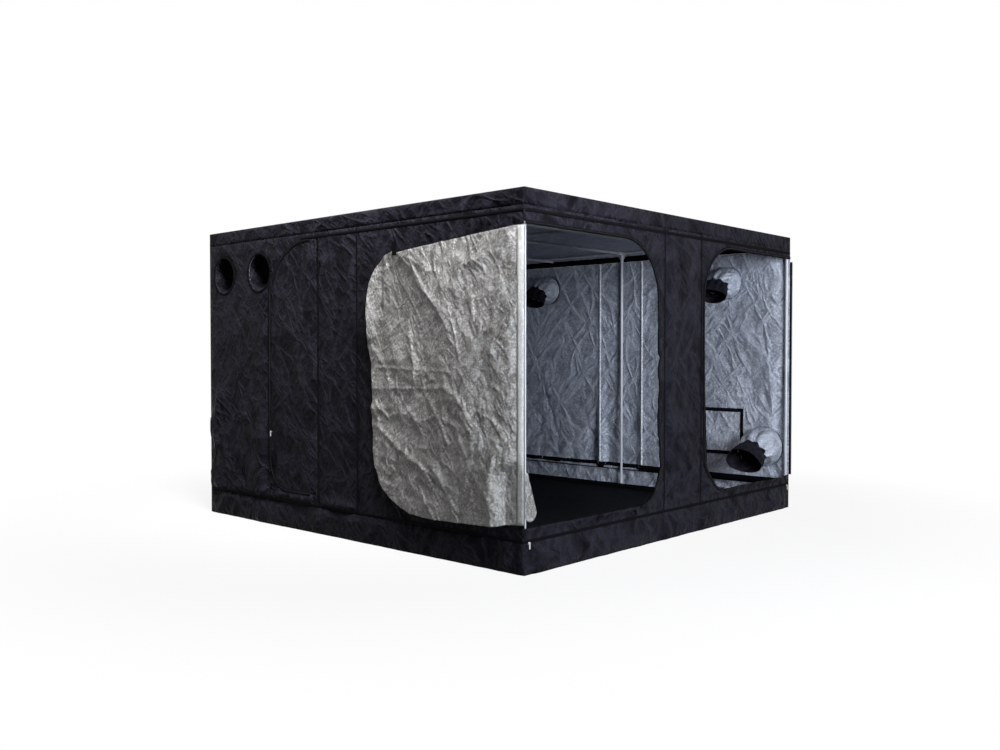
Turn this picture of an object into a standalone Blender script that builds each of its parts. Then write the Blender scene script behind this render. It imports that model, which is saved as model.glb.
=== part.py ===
"""Indoor grow tent: a square walk-in tent of coated cloth over a socketed steel frame.

The cover is a base tray, four walls and a roof that are sewn edge to edge, and the frame
stands inside it. The origin is on the ground at the middle of the tent, +Z is up, and the
front wall with its two doors faces -Y. Lengths are in metres.
"""
import math

import bmesh
import bpy
from mathutils import Matrix, Vector

# Overall size of the pitched tent
TENT_LENGTH = 3.0
TENT_DEPTH = 3.0
TENT_HEIGHT = 2.0

# Cover cloth with its lining and bindings, and the gap that neighbours keep
FABRIC_THICKNESS = 0.003
CLEARANCE = 0.0003
OVERRUN = 0.01
WELD = 0.00001
ROOF_BAND_HEIGHT = 0.09
BASE_BAND_HEIGHT = 0.165

# Poles and the socketed fittings that join them
POLE_DIAMETER = 0.022
POLE_WALL = 0.001
POLE_SIDES = 12
JOINT_GROOVE_WIDTH = 0.0016
JOINT_GROOVE_DEPTH = 0.0004
SOCKET_WALL = 0.002
SOCKET_LENGTH = 0.06
SOCKET_FLOOR = 0.016
CORE_LIP = 0.0004
CORE_BEVEL = 0.003
GUSSET_THICKNESS = 0.003
CORNER_GUSSET = 0.048
TEE_HALF_LENGTH = 0.05
TEE_POST_SOCKET = 0.078

# Hanging bars that hook over the side rails
BAR_PLACE = 0.75
BAR_PASSING_GAP = 0.0008
HOOK_THICKNESS = 0.0018
HOOK_WIDTH = 0.03
HOOK_ARC_STEPS = 8

# Front wall with its two D shaped doorways: the band between them and the headers over them
NEAR_BAND_HALF = 0.265
FAR_BAND_HALF = 0.27
NEAR_DOOR_DROP = 0.18
FAR_DOOR_DROP = 0.15
NEAR_DOOR_WIDTH = TENT_LENGTH / 2 - NEAR_BAND_HALF
NEAR_DOOR_HEAD = TENT_HEIGHT - NEAR_DOOR_DROP
FAR_DOOR_WIDTH = TENT_LENGTH / 2 - FAR_BAND_HALF
FAR_DOOR_HEAD = TENT_HEIGHT - FAR_DOOR_DROP
DOOR_SILL = 0.245
DOOR_TOP_RADIUS = 0.35
DOOR_LOW_RADIUS = 0.22
DOOR_ARC_STEPS = 6
HINGE_OFFSET = 0.012
WELT_RADIUS = 0.0027
WELT_WEB = 0.0015

# Door leaves, folded back round the corners and lying outside the side walls
LEAF_THICKNESS = 0.002
LEAF_LAP = 0.01
LEAF_DRAWN_IN = 0.045
LEAF_HEAD_GAP = 0.03
LEAF_SILL_GAP = 0.015
LEAF_WIDTH_HIGH = NEAR_DOOR_WIDTH + LEAF_LAP
LEAF_WIDTH_LOW = NEAR_DOOR_WIDTH - LEAF_DRAWN_IN
LEAF_TOP = NEAR_DOOR_HEAD - LEAF_HEAD_GAP
LEAF_BOTTOM = DOOR_SILL + LEAF_SILL_GAP
LEAF_TOP_SAG = 0.045
LEAF_BOTTOM_SAG = 0.05
LEAF_TOP_CORNER_WIDTH = 0.27
LEAF_TOP_CORNER_HEIGHT = 0.42
LEAF_LOW_CORNER_WIDTH = 0.16
LEAF_LOW_CORNER_HEIGHT = 0.2
LEAF_FOLD_HEIGHT = 0.016
LEAF_FOLD_WIDTH = 0.07
LEAF_CALM_MARGIN = 0.12
LEAF_LOW_ARC_STEPS = 4
LEAF_STRAIGHT_STEPS = 9
LEAF_TOP_ARC_STEPS = 6
NEAR_LEAF_COLUMNS = 20
FAR_LEAF_COLUMNS = 12
# Each fold runs from one place to another, as shares of the leaf's width and height
NEAR_LEAF_FOLD_SHARES = (
    ((0.03, 0.97), (0.50, 0.50), 1.0),
    ((0.05, 0.90), (0.30, 0.30), 0.7),
    ((0.78, 0.95), (0.35, 0.62), 0.9),
    ((0.95, 0.70), (0.60, 0.35), 0.8),
    ((0.85, 0.20), (0.40, 0.28), 1.0),
    ((0.20, 0.08), (0.75, 0.12), 0.8),
    ((0.62, 0.88), (0.90, 0.45), 0.6),
)
FAR_LEAF_FOLD_SHARES = (
    ((0.05, 0.95), (0.55, 0.45), 1.0),
    ((0.90, 0.75), (0.45, 0.25), 0.8),
    ((0.15, 0.15), (0.80, 0.18), 0.8),
)
TIE_STRAP_PLACE = 0.98
TIE_STRAP_WIDTH = 0.024
TIE_STRAP_LAP = 0.05
TIE_STRAP_TAIL = 0.03
TIE_STRAP_THICKNESS = 0.0015
TIE_STRAP_ROWS = 6

# Small light flap that hangs beside the foot of the near corner post
LIGHT_FLAP_LOW = 0.27
LIGHT_FLAP_HIGH = 0.53
LIGHT_FLAP_WIDTH = 0.1
LIGHT_FLAP_TOP_WIDTH = 0.03
LIGHT_FLAP_THICKNESS = 0.0015
LIGHT_FLAP_ARC_STEPS = 5

# Access door in the left wall, hinged on its straight side and zipped on its curve
ACCESS_HINGE_PAST_MIDDLE = 0.244
ACCESS_DROP = 0.13
ACCESS_HINGE = TENT_DEPTH / 2 + ACCESS_HINGE_PAST_MIDDLE
ACCESS_HEAD = TENT_HEIGHT - ACCESS_DROP
ACCESS_WIDTH = 0.516
ACCESS_TOP_RADIUS = 0.42
ACCESS_LOW_RADIUS = 0.2

# Ports for ducts: their places in the side walls and the sleeves sewn into them
INNER_PORT_FROM_BACK = 0.63
CORNER_PORT_FROM_BACK = 0.2
BACK_PORT_FROM_BACK = 0.68
FRONT_PORT_FROM_FRONT = 0.52
LOW_PORT_FROM_FRONT = 0.2
HIGH_PORT_DROP = 0.31
BACK_PORT_DROP = 0.29
LOW_PORT_HEIGHT = 0.44
LEFT_PORT_RADIUS = 0.13
RIGHT_PORT_RADIUS = 0.125
LOW_PORT_RADIUS = 0.15
LEFT_SLEEVE_REACH = 0.26
RIGHT_SLEEVE_REACH = 0.27
LOW_SLEEVE_REACH = 0.34
PORT_SIDES = 20
SLEEVE_RINGS = 5
SLEEVE_FOLDS = 5
SLEEVE_FOLD_SHARE = 0.12
SLEEVE_TAPER_SHARE = 0.2
SLEEVE_STRAIGHT = 0.02
SLEEVE_THICKNESS = 0.0015
# Each port has its distance from the front, height, radius, sleeve reach and droop in degrees
LEFT_PORTS = (
    ("duct_sleeve_left_inner", TENT_DEPTH - INNER_PORT_FROM_BACK,
     TENT_HEIGHT - HIGH_PORT_DROP, LEFT_PORT_RADIUS, LEFT_SLEEVE_REACH, 62),
    ("duct_sleeve_left_corner", TENT_DEPTH - CORNER_PORT_FROM_BACK,
     TENT_HEIGHT - HIGH_PORT_DROP, LEFT_PORT_RADIUS, LEFT_SLEEVE_REACH, 62),
)
RIGHT_PORTS = (
    ("duct_sleeve_right_back", TENT_DEPTH - BACK_PORT_FROM_BACK,
     TENT_HEIGHT - BACK_PORT_DROP, RIGHT_PORT_RADIUS, RIGHT_SLEEVE_REACH, 60),
    ("duct_sleeve_right_front", FRONT_PORT_FROM_FRONT,
     TENT_HEIGHT - HIGH_PORT_DROP, RIGHT_PORT_RADIUS, RIGHT_SLEEVE_REACH, 55),
    ("duct_sleeve_right_low", LOW_PORT_FROM_FRONT,
     LOW_PORT_HEIGHT, LOW_PORT_RADIUS, LOW_SLEEVE_REACH, 32),
)

# Passive vent low in the right wall, with its mesh screen and inner flap
VENT_FROM_FRONT = 0.39
VENT_LOW = 0.38
VENT_WIDTH = 0.45
VENT_HEIGHT = 0.32
SCREEN_THICKNESS = 0.002
SCREEN_COLUMNS = 8
SCREEN_ROWS = 6
SCREEN_WIRE = 0.006
FLAP_LAP = 0.02
FLAP_THICKNESS = 0.002
FLAP_BELLY = 0.012
FLAP_COLUMNS = 8
FLAP_ROWS = 6

# Loose waterproof mat with a raised lip
MAT_THICKNESS = 0.002
MAT_LIP = 0.038

# Zip sliders
SLIDER_LENGTH = 0.02
SLIDER_WIDTH = 0.015
SLIDER_TAIL_SHARE = 0.6
SLIDER_THICKNESS = 0.005
SLIDER_ROUND_STEPS = 4
BAIL_RADIUS = 0.0012
BAIL_RISE = 0.0035
BAIL_STEPS = 6
PULL_LENGTH = 0.034
PULL_WIDTH = 0.011
PULL_THICKNESS = 0.0014
PULL_HOLE_RADIUS = 0.003
PULL_HOLE_SIDES = 8
PULL_STEPS = 6
FRONT_SLIDER_INSET = 0.035
ACCESS_SLIDER_HEIGHT = 0.62

# Sizes that follow from the ones above
POLE_RADIUS = POLE_DIAMETER / 2
BORE_RADIUS = POLE_RADIUS + CLEARANCE
SOCKET_RADIUS = BORE_RADIUS + SOCKET_WALL
CORE_HALF = SOCKET_RADIUS + CORE_LIP
FRAME_INSET = FABRIC_THICKNESS + CLEARANCE + CORE_HALF
FRAME_X = TENT_LENGTH / 2 - FRAME_INSET
FRAME_Y = TENT_DEPTH / 2 - FRAME_INSET
FRAME_LOW = FRAME_INSET
FRAME_HIGH = TENT_HEIGHT - FRAME_INSET
POLE_STOP = SOCKET_FLOOR + CLEARANCE
WALL_LOW = BASE_BAND_HEIGHT + CLEARANCE
WALL_HIGH = TENT_HEIGHT - ROOF_BAND_HEIGHT - CLEARANCE
SIDE_WALL_INSET = FABRIC_THICKNESS + CLEARANCE
LEAF_START = WELT_RADIUS + CLEARANCE

# Faces that meet more sharply than this, in degrees, keep a crisp edge
CRISP_ANGLE = 40

AXIS_X = Vector((1, 0, 0))
AXIS_Y = Vector((0, 1, 0))
AXIS_Z = Vector((0, 0, 1))


def clear_scene():
    """Remove whatever the file holds, so that the tent stands alone."""
    for item in list(bpy.data.objects):
        bpy.data.objects.remove(item, do_unlink=True)


def new_collection(name):
    """Make a collection for the tent's parts and link it to the scene."""
    collection = bpy.data.collections.new(name)
    bpy.context.scene.collection.children.link(collection)
    return collection


def new_material(name, colour, roughness, metallic=0.0):
    """Make a plain surface with one colour, roughness and metallic value."""
    material = bpy.data.materials.new(name)
    material.use_nodes = True
    shader = material.node_tree.nodes["Principled BSDF"]
    shader.inputs["Base Color"].default_value = (*colour, 1.0)
    shader.inputs["Roughness"].default_value = roughness
    shader.inputs["Metallic"].default_value = metallic
    material.diffuse_color = (*colour, 1.0)
    return material


def add_part(name, mesh, material, place=None, smooth=False):
    """Put a mesh in the tent's collection as one named part."""
    part = bpy.data.objects.new(name, mesh)
    PARTS.objects.link(part)
    if not mesh.materials:
        mesh.materials.append(material)
    if place is not None:
        part.matrix_world = place
    if smooth:
        mesh.shade_smooth()
        mesh.set_sharp_from_angle(angle=math.radians(CRISP_ANGLE))
    return part


def evaluated_mesh(item):
    """Return the mesh that an object shows once its modifiers have run."""
    bpy.context.view_layer.update()
    depsgraph = bpy.context.evaluated_depsgraph_get()
    return bpy.data.meshes.new_from_object(item.evaluated_get(depsgraph))


def take_mesh(item, turn_out=False):
    """Weld an object's evaluated mesh in its own space and drop the object."""
    mesh = evaluated_mesh(item)
    bpy.data.objects.remove(item, do_unlink=True)
    shape = bmesh.new()
    shape.from_mesh(mesh)
    bmesh.ops.remove_doubles(shape, verts=shape.verts, dist=WELD)
    if turn_out:
        bmesh.ops.recalc_face_normals(shape, faces=shape.faces)
    shape.to_mesh(mesh)
    shape.free()
    return mesh


def combine(mesh, tools, operation, solver="EXACT"):
    """Join or cut a mesh with each of the tool meshes in turn."""
    body = bpy.data.objects.new("body", mesh)
    bpy.context.scene.collection.objects.link(body)
    helpers = []
    for tool in tools:
        helper = bpy.data.objects.new("helper", tool)
        helper.hide_render = True
        helper.display_type = "WIRE"
        bpy.context.scene.collection.objects.link(helper)
        step = body.modifiers.new("combine", "BOOLEAN")
        step.operation = operation
        step.solver = solver
        step.object = helper
        helpers.append(helper)
    result = take_mesh(body)
    for helper in helpers:
        bpy.data.objects.remove(helper, do_unlink=True)
    return result


def turned(direction):
    """Return the rotation that lays a part built along Z on a main axis."""
    if direction.x:
        return Matrix.Rotation(math.copysign(math.pi / 2, direction.x), 4, "Y")
    if direction.y:
        return Matrix.Rotation(-math.copysign(math.pi / 2, direction.y), 4, "X")
    return Matrix.Rotation(0 if direction.z > 0 else math.pi, 4, "X")


def cylinder_mesh(radius, start, end, direction, sides=POLE_SIDES):
    """Make a closed cylinder from start to end along a main axis."""
    shape = bmesh.new()
    along = Matrix.Translation(AXIS_Z * (start + end) / 2)
    bmesh.ops.create_cone(
        shape, cap_ends=True, segments=sides, radius1=radius, radius2=radius,
        depth=end - start, matrix=turned(direction) @ along)
    mesh = bpy.data.meshes.new("cylinder")
    shape.to_mesh(mesh)
    shape.free()
    return mesh


def box_mesh(size, centre, bevel=0.0):
    """Make a closed box with optional chamfered edges."""
    shape = bmesh.new()
    bmesh.ops.create_cube(shape, size=1.0, matrix=Matrix.Diagonal((*size, 1.0)))
    if bevel:
        bmesh.ops.bevel(shape, geom=shape.edges, offset=bevel, segments=1, affect="EDGES")
    bmesh.ops.translate(shape, verts=shape.verts, vec=centre)
    mesh = bpy.data.meshes.new("box")
    shape.to_mesh(mesh)
    shape.free()
    return mesh


def standing(across, origin):
    """Stand a flat outline up, its x along the given direction and its y upwards."""
    normal = across.cross(AXIS_Z)
    matrix = Matrix((across, AXIS_Z, normal)).transposed().to_4x4()
    matrix.translation = origin
    return matrix


def sheet_mesh(outlines, thickness, place=None):
    """Fill flat closed outlines and give the sheet its thickness about the plane."""
    curve = bpy.data.curves.new("outline", "CURVE")
    curve.dimensions = "2D"
    curve.fill_mode = "BOTH"
    curve.extrude = thickness / 2
    for outline in outlines:
        spline = curve.splines.new("POLY")
        spline.points.add(len(outline) - 1)
        for point, (across, up) in zip(spline.points, outline):
            point.co = (across, up, 0.0, 1.0)
        spline.use_cyclic_u = True
    item = bpy.data.objects.new("outline", curve)
    bpy.context.scene.collection.objects.link(item)
    mesh = take_mesh(item, turn_out=True)
    if place is not None:
        mesh.transform(place)
    return mesh


def arc(centre, radii, start_deg, end_deg, steps):
    """List the points of an elliptical arc, ends included."""
    points = []
    for step in range(steps + 1):
        angle = math.radians(start_deg + (end_deg - start_deg) * step / steps)
        across = centre[0] + radii[0] * math.cos(angle)
        up = centre[1] + radii[1] * math.sin(angle)
        points.append((across, up))
    return points


def ring(centre, radius, sides):
    """List the corners of a round hole."""
    return arc(centre, (radius, radius), 0, 360, sides)[:-1]


def rectangle(left, low, right, high):
    """List the corners of a rectangle."""
    return [(left, low), (right, low), (right, high), (left, high)]


def door_outline(width, sill, head, top_radius, low_radius):
    """Trace a D shaped doorway from its straight side's foot round to its head."""
    low_centre = (width - low_radius, sill + low_radius)
    top_centre = (width - top_radius, head - top_radius)
    low_arc = arc(low_centre, (low_radius, low_radius), -90, 0, DOOR_ARC_STEPS)
    top_arc = arc(top_centre, (top_radius, top_radius), 0, 90, DOOR_ARC_STEPS)
    return [(0, sill)] + low_arc + top_arc + [(0, head)]


def tube_mesh(length, jointed):
    """Turn a hollow pole about Z, with the line where its two halves plug together."""
    half = length / 2
    groove = JOINT_GROOVE_WIDTH / 2
    profile = [(POLE_RADIUS, half)]
    if jointed:
        profile.append((POLE_RADIUS, groove))
        profile.append((POLE_RADIUS - JOINT_GROOVE_DEPTH, 0))
        profile.append((POLE_RADIUS, -groove))
    profile.append((POLE_RADIUS, -half))
    profile.append((POLE_RADIUS - POLE_WALL, -half))
    profile.append((POLE_RADIUS - POLE_WALL, half))
    count = len(profile)
    mesh = bpy.data.meshes.new("pole")
    edges = [(index, (index + 1) % count) for index in range(count)]
    mesh.from_pydata([(radius, 0, height) for radius, height in profile], edges, [])
    item = bpy.data.objects.new("pole", mesh)
    bpy.context.scene.collection.objects.link(item)
    screw = item.modifiers.new("turn", "SCREW")
    screw.axis = "Z"
    screw.angle = 2 * math.pi
    screw.steps = POLE_SIDES
    screw.render_steps = POLE_SIDES
    screw.use_merge_vertices = True
    screw.merge_threshold = WELD
    return take_mesh(item)


def add_pole(name, start, end, direction, origin, jointed=False):
    """Lay a pole along a main axis between two distances from a point."""
    mesh = tube_mesh(end - start, jointed)
    place = Matrix.Translation(origin + direction * (start + end) / 2) @ turned(direction)
    return add_part(name, mesh, POLE_PAINT, place, smooth=True)


def gusset_mesh(first, second, reach_first, reach_second):
    """Make the web plate between two arms of a fitting."""
    outline = [(0, 0), (reach_first, 0), (0, reach_second)]
    normal = first.cross(second)
    matrix = Matrix((first, second, normal)).transposed().to_4x4()
    return sheet_mesh([outline], GUSSET_THICKNESS, matrix)


def fitting_mesh(arms, gussets, through=None):
    """Cast a pole fitting: a block, one socket for each arm and webs between the arms."""
    mesh = box_mesh((2 * CORE_HALF,) * 3, Vector((0, 0, 0)), CORE_BEVEL)
    solids = [cylinder_mesh(SOCKET_RADIUS, 0, reach, arm) for arm, reach in arms]
    if through:
        axis, half = through
        solids.append(cylinder_mesh(SOCKET_RADIUS, -half, half, axis))
    for first, second, reach_first, reach_second in gussets:
        solids.append(gusset_mesh(first, second, reach_first, reach_second))
    mesh = combine(mesh, solids, "UNION")
    bores = [cylinder_mesh(BORE_RADIUS, SOCKET_FLOOR, reach + OVERRUN, arm)
             for arm, reach in arms]
    if through:
        axis, half = through
        bores.append(cylinder_mesh(BORE_RADIUS, -half - OVERRUN, half + OVERRUN, axis))
    return combine(mesh, bores, "DIFFERENCE")


def corner_fitting():
    """Make the three way corner fitting with its arms along +X, +Y and +Z."""
    arms = [(axis, SOCKET_LENGTH) for axis in (AXIS_X, AXIS_Y, AXIS_Z)]
    gussets = [
        (AXIS_Y, AXIS_Z, CORNER_GUSSET, CORNER_GUSSET),
        (AXIS_Z, AXIS_X, CORNER_GUSSET, CORNER_GUSSET),
    ]
    return fitting_mesh(arms, gussets)


def tee_gussets():
    """Give the two web plates that brace a post against the rail."""
    webs = []
    for side in (AXIS_X, -AXIS_X):
        webs.append((side, AXIS_Z, TEE_HALF_LENGTH, TEE_POST_SOCKET))
    return webs


def place_corners():
    """Set a fitting at each of the eight corners of the frame."""
    mesh = corner_fitting()
    corners = (
        ("front_left", -1, -1, 0),
        ("front_right", 1, -1, 90),
        ("back_right", 1, 1, 180),
        ("back_left", -1, 1, 270),
    )
    for name, side_x, side_y, turn in corners:
        spin = Matrix.Rotation(math.radians(turn), 4, "Z")
        low = Matrix.Translation((side_x * FRAME_X, side_y * FRAME_Y, FRAME_LOW))
        add_part("base_corner_" + name, mesh, FITTING_PLASTIC, low @ spin, smooth=True)
        # The top fitting is the same casting rolled upside down about its diagonal
        flip = Matrix.Rotation(math.pi, 4, Vector((1, 1, 0)))
        high = Matrix.Translation((side_x * FRAME_X, side_y * FRAME_Y, FRAME_HIGH))
        add_part("top_corner_" + name, mesh, FITTING_PLASTIC, high @ spin @ flip, smooth=True)


def place_tees():
    """Set a tee at the middle of every base rail and top rail."""
    through = (AXIS_X, TEE_HALF_LENGTH)
    base = fitting_mesh([(AXIS_Z, TEE_POST_SOCKET)], tee_gussets(), through)
    top_arms = [(AXIS_Z, TEE_POST_SOCKET), (-AXIS_Y, SOCKET_LENGTH)]
    top = fitting_mesh(top_arms, tee_gussets(), through)
    sides = (
        ("front", 0, -FRAME_Y, 0),
        ("right", FRAME_X, 0, 90),
        ("back", 0, FRAME_Y, 180),
        ("left", -FRAME_X, 0, 270),
    )
    flip = Matrix.Rotation(math.pi, 4, "X")
    for name, across, deep, turn in sides:
        spin = Matrix.Rotation(math.radians(turn), 4, "Z")
        low = Matrix.Translation((across, deep, FRAME_LOW))
        add_part("base_tee_" + name, base, FITTING_PLASTIC, low @ spin, smooth=True)
        high = Matrix.Translation((across, deep, FRAME_HIGH))
        add_part("top_tee_" + name, top, FITTING_PLASTIC, high @ spin @ flip, smooth=True)


def place_poles():
    """Lay the rails and stand the posts between the fittings."""
    reach_x = FRAME_X - POLE_STOP
    reach_y = FRAME_Y - POLE_STOP
    for level, height in (("base", FRAME_LOW), ("top", FRAME_HIGH)):
        front = Vector((0, -FRAME_Y, height))
        back = Vector((0, FRAME_Y, height))
        left = Vector((-FRAME_X, 0, height))
        right = Vector((FRAME_X, 0, height))
        add_pole(level + "_rail_front", -reach_x, reach_x, AXIS_X, front)
        add_pole(level + "_rail_back", -reach_x, reach_x, AXIS_X, back)
        add_pole(level + "_rail_left", -reach_y, reach_y, AXIS_Y, left)
        add_pole(level + "_rail_right", -reach_y, reach_y, AXIS_Y, right)
    posts = (
        ("corner_post_front_left", -FRAME_X, -FRAME_Y),
        ("corner_post_front_right", FRAME_X, -FRAME_Y),
        ("corner_post_back_left", -FRAME_X, FRAME_Y),
        ("corner_post_back_right", FRAME_X, FRAME_Y),
        ("mid_post_front", 0, -FRAME_Y),
        ("mid_post_back", 0, FRAME_Y),
        ("mid_post_left", -FRAME_X, 0),
        ("mid_post_right", FRAME_X, 0),
    )
    start = FRAME_LOW + POLE_STOP
    end = FRAME_HIGH - POLE_STOP
    for name, across, deep in posts:
        add_pole(name, start, end, AXIS_Z, Vector((across, deep, 0)), jointed=True)


def place_ceiling():
    """Cross the ceiling with three beams that meet in a hub."""
    through = (AXIS_X, SOCKET_LENGTH)
    arms = [(AXIS_Y, SOCKET_LENGTH), (-AXIS_Y, SOCKET_LENGTH)]
    hub = fitting_mesh(arms, [], through)
    centre = Vector((0, 0, FRAME_HIGH))
    add_part("ceiling_hub", hub, FITTING_PLASTIC, Matrix.Translation(centre), smooth=True)
    reach = FRAME_X - POLE_STOP
    add_pole("ceiling_beam_cross", -reach, reach, AXIS_X, centre)
    far = FRAME_Y - POLE_STOP
    add_pole("ceiling_beam_front", POLE_STOP, far, -AXIS_Y, centre)
    add_pole("ceiling_beam_back", POLE_STOP, far, AXIS_Y, centre)


def hook_outline():
    """Trace the flat bar that is rolled over the rail and runs down to the hanging bar."""
    inner = POLE_RADIUS + CLEARANCE
    outer = inner + HOOK_THICKNESS
    foot = -(POLE_DIAMETER + BAR_PASSING_GAP) - POLE_RADIUS
    over = arc((0, 0), (outer, outer), 0, 180, HOOK_ARC_STEPS)
    under = arc((0, 0), (inner, inner), 180, 0, HOOK_ARC_STEPS)
    return over + [(-outer, foot), (-inner, foot)] + under


def hanging_bar_mesh():
    """Weld a hook to each end of a tube, then open the tube's bore through both."""
    drop = POLE_DIAMETER + BAR_PASSING_GAP
    seat = POLE_RADIUS + CLEARANCE + HOOK_THICKNESS / 2
    reach = FRAME_X - seat
    mesh = cylinder_mesh(POLE_RADIUS, -reach, reach, AXIS_X)
    hooks = []
    for side in (1, -1):
        origin = Vector((side * FRAME_X, 0, drop))
        hook = sheet_mesh([hook_outline()], HOOK_WIDTH, standing(AXIS_X, Vector((0, 0, 0))))
        if side < 0:
            hook.transform(Matrix.Rotation(math.pi, 4, "Z"))
        hook.transform(Matrix.Translation(origin))
        hooks.append(hook)
    mesh = combine(mesh, hooks, "UNION")
    bore = POLE_RADIUS - POLE_WALL
    opening = cylinder_mesh(bore, -reach - OVERRUN, reach + OVERRUN, AXIS_X)
    # The exact solver turns this long thin cut inside out
    return combine(mesh, [opening], "DIFFERENCE", "MANIFOLD")


def place_hanging_bars():
    """Hook a bar over the side rails in each half of the ceiling."""
    mesh = hanging_bar_mesh()
    height = FRAME_HIGH - POLE_DIAMETER - BAR_PASSING_GAP
    for name, deep in (("hanging_bar_front", -BAR_PLACE), ("hanging_bar_back", BAR_PLACE)):
        place = Matrix.Translation((0, deep, height))
        add_part(name, mesh, POLE_PAINT, place, smooth=True)


def open_box_mesh(size, wall, centre, open_side):
    """Make an open box whose walls go inwards from its outer size."""
    shape = bmesh.new()
    bmesh.ops.create_cube(shape, size=1.0, matrix=Matrix.Diagonal((*size, 1.0)))
    lid = [face for face in shape.faces if face.normal.z * open_side > 0.5]
    bmesh.ops.delete(shape, geom=lid, context="FACES_ONLY")
    bmesh.ops.translate(shape, verts=shape.verts, vec=centre)
    mesh = bpy.data.meshes.new("open_box")
    shape.to_mesh(mesh)
    shape.free()
    item = bpy.data.objects.new("open_box", mesh)
    bpy.context.scene.collection.objects.link(item)
    shell = item.modifiers.new("wall", "SOLIDIFY")
    shell.thickness = wall
    shell.offset = -1.0
    shell.use_even_offset = True
    return take_mesh(item)


def place_tray_and_roof():
    """Add the cover's sewn base with its band, the roof with its band and the mat."""
    size = (TENT_LENGTH, TENT_DEPTH, BASE_BAND_HEIGHT)
    tray = open_box_mesh(size, FABRIC_THICKNESS, AXIS_Z * BASE_BAND_HEIGHT / 2, 1)
    add_part("base_tray", tray, OUTER_CLOTH)
    size = (TENT_LENGTH, TENT_DEPTH, ROOF_BAND_HEIGHT)
    middle = TENT_HEIGHT - ROOF_BAND_HEIGHT / 2
    roof = open_box_mesh(size, FABRIC_THICKNESS, AXIS_Z * middle, -1)
    add_part("roof_cover", roof, OUTER_CLOTH)
    inset = 2 * (FRAME_INSET + CORE_HALF + CLEARANCE)
    size = (TENT_LENGTH - inset, TENT_DEPTH - inset, MAT_LIP)
    middle = FABRIC_THICKNESS + CLEARANCE + MAT_LIP / 2
    mat = open_box_mesh(size, MAT_THICKNESS, AXIS_Z * middle, 1)
    add_part("floor_mat", mat, MAT_RUBBER)


def welt_mesh(side):
    """Make the corner seam: a piped bead outside the corner and the web that holds it."""
    corner = Vector((side * TENT_LENGTH / 2, -TENT_DEPTH / 2, 0))
    outward = Vector((side, -1, 0))
    bead = cylinder_mesh(WELT_RADIUS, WALL_LOW, WALL_HIGH, AXIS_Z)
    bead.transform(Matrix.Translation(corner + outward * HINGE_OFFSET))
    root = FABRIC_THICKNESS / 2
    length = (HINGE_OFFSET + root) * math.sqrt(2)
    middle = corner + outward * (HINGE_OFFSET - root) / 2
    size = (length, WELT_WEB, WALL_HIGH - WALL_LOW)
    web = box_mesh(size, Vector((0, 0, 0)))
    turn = Matrix.Rotation(math.atan2(outward.y, outward.x), 4, "Z")
    height = AXIS_Z * (WALL_LOW + WALL_HIGH) / 2
    web.transform(Matrix.Translation(middle + height) @ turn)
    return [bead, web]


def place_front_wall():
    """Add the front wall, open to both corners at its doorways and edged by the welts."""
    near = door_outline(NEAR_DOOR_WIDTH, DOOR_SILL, NEAR_DOOR_HEAD,
                        DOOR_TOP_RADIUS, DOOR_LOW_RADIUS)
    far = door_outline(FAR_DOOR_WIDTH, DOOR_SILL, FAR_DOOR_HEAD,
                       DOOR_TOP_RADIUS, DOOR_LOW_RADIUS)
    outline = [(0, WALL_LOW), (TENT_LENGTH, WALL_LOW)]
    outline += [(TENT_LENGTH - across, up) for across, up in far]
    outline += [(TENT_LENGTH, WALL_HIGH), (0, WALL_HIGH)]
    outline += list(reversed(near))
    depth = -TENT_DEPTH / 2 + FABRIC_THICKNESS / 2
    place = standing(AXIS_X, Vector((-TENT_LENGTH / 2, depth, 0)))
    mesh = sheet_mesh([outline], FABRIC_THICKNESS, place)
    mesh = combine(mesh, welt_mesh(-1) + welt_mesh(1), "UNION")
    add_part("front_wall", mesh, OUTER_CLOTH)


def place_back_wall():
    """Add the plain back wall."""
    outline = rectangle(0, WALL_LOW, TENT_LENGTH, WALL_HIGH)
    depth = TENT_DEPTH / 2 - FABRIC_THICKNESS / 2
    place = standing(AXIS_X, Vector((-TENT_LENGTH / 2, depth, 0)))
    add_part("back_wall", sheet_mesh([outline], FABRIC_THICKNESS, place), OUTER_CLOTH)


def side_wall_place(side):
    """Give the plane of a side wall, measured from the front face of the tent."""
    across = side * (TENT_LENGTH / 2 - FABRIC_THICKNESS / 2)
    return standing(AXIS_Y, Vector((across, -TENT_DEPTH / 2, 0)))


def port_holes(ports):
    """List the round holes that a wall needs for its duct sleeves."""
    return [ring((deep, height), radius, PORT_SIDES)
            for _, deep, height, radius, _, _ in ports]


def access_outline(grow):
    """Trace the left access door, grown or shrunk evenly by a gap."""
    points = door_outline(ACCESS_WIDTH, DOOR_SILL, ACCESS_HEAD,
                          ACCESS_TOP_RADIUS, ACCESS_LOW_RADIUS)
    middle_up = (DOOR_SILL + ACCESS_HEAD) / 2
    scale_across = (ACCESS_WIDTH + 2 * grow) / ACCESS_WIDTH
    scale_up = (ACCESS_HEAD - DOOR_SILL + 2 * grow) / (ACCESS_HEAD - DOOR_SILL)
    moved = []
    for across, up in points:
        moved.append((across * scale_across - grow, middle_up + (up - middle_up) * scale_up))
    return moved


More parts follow.
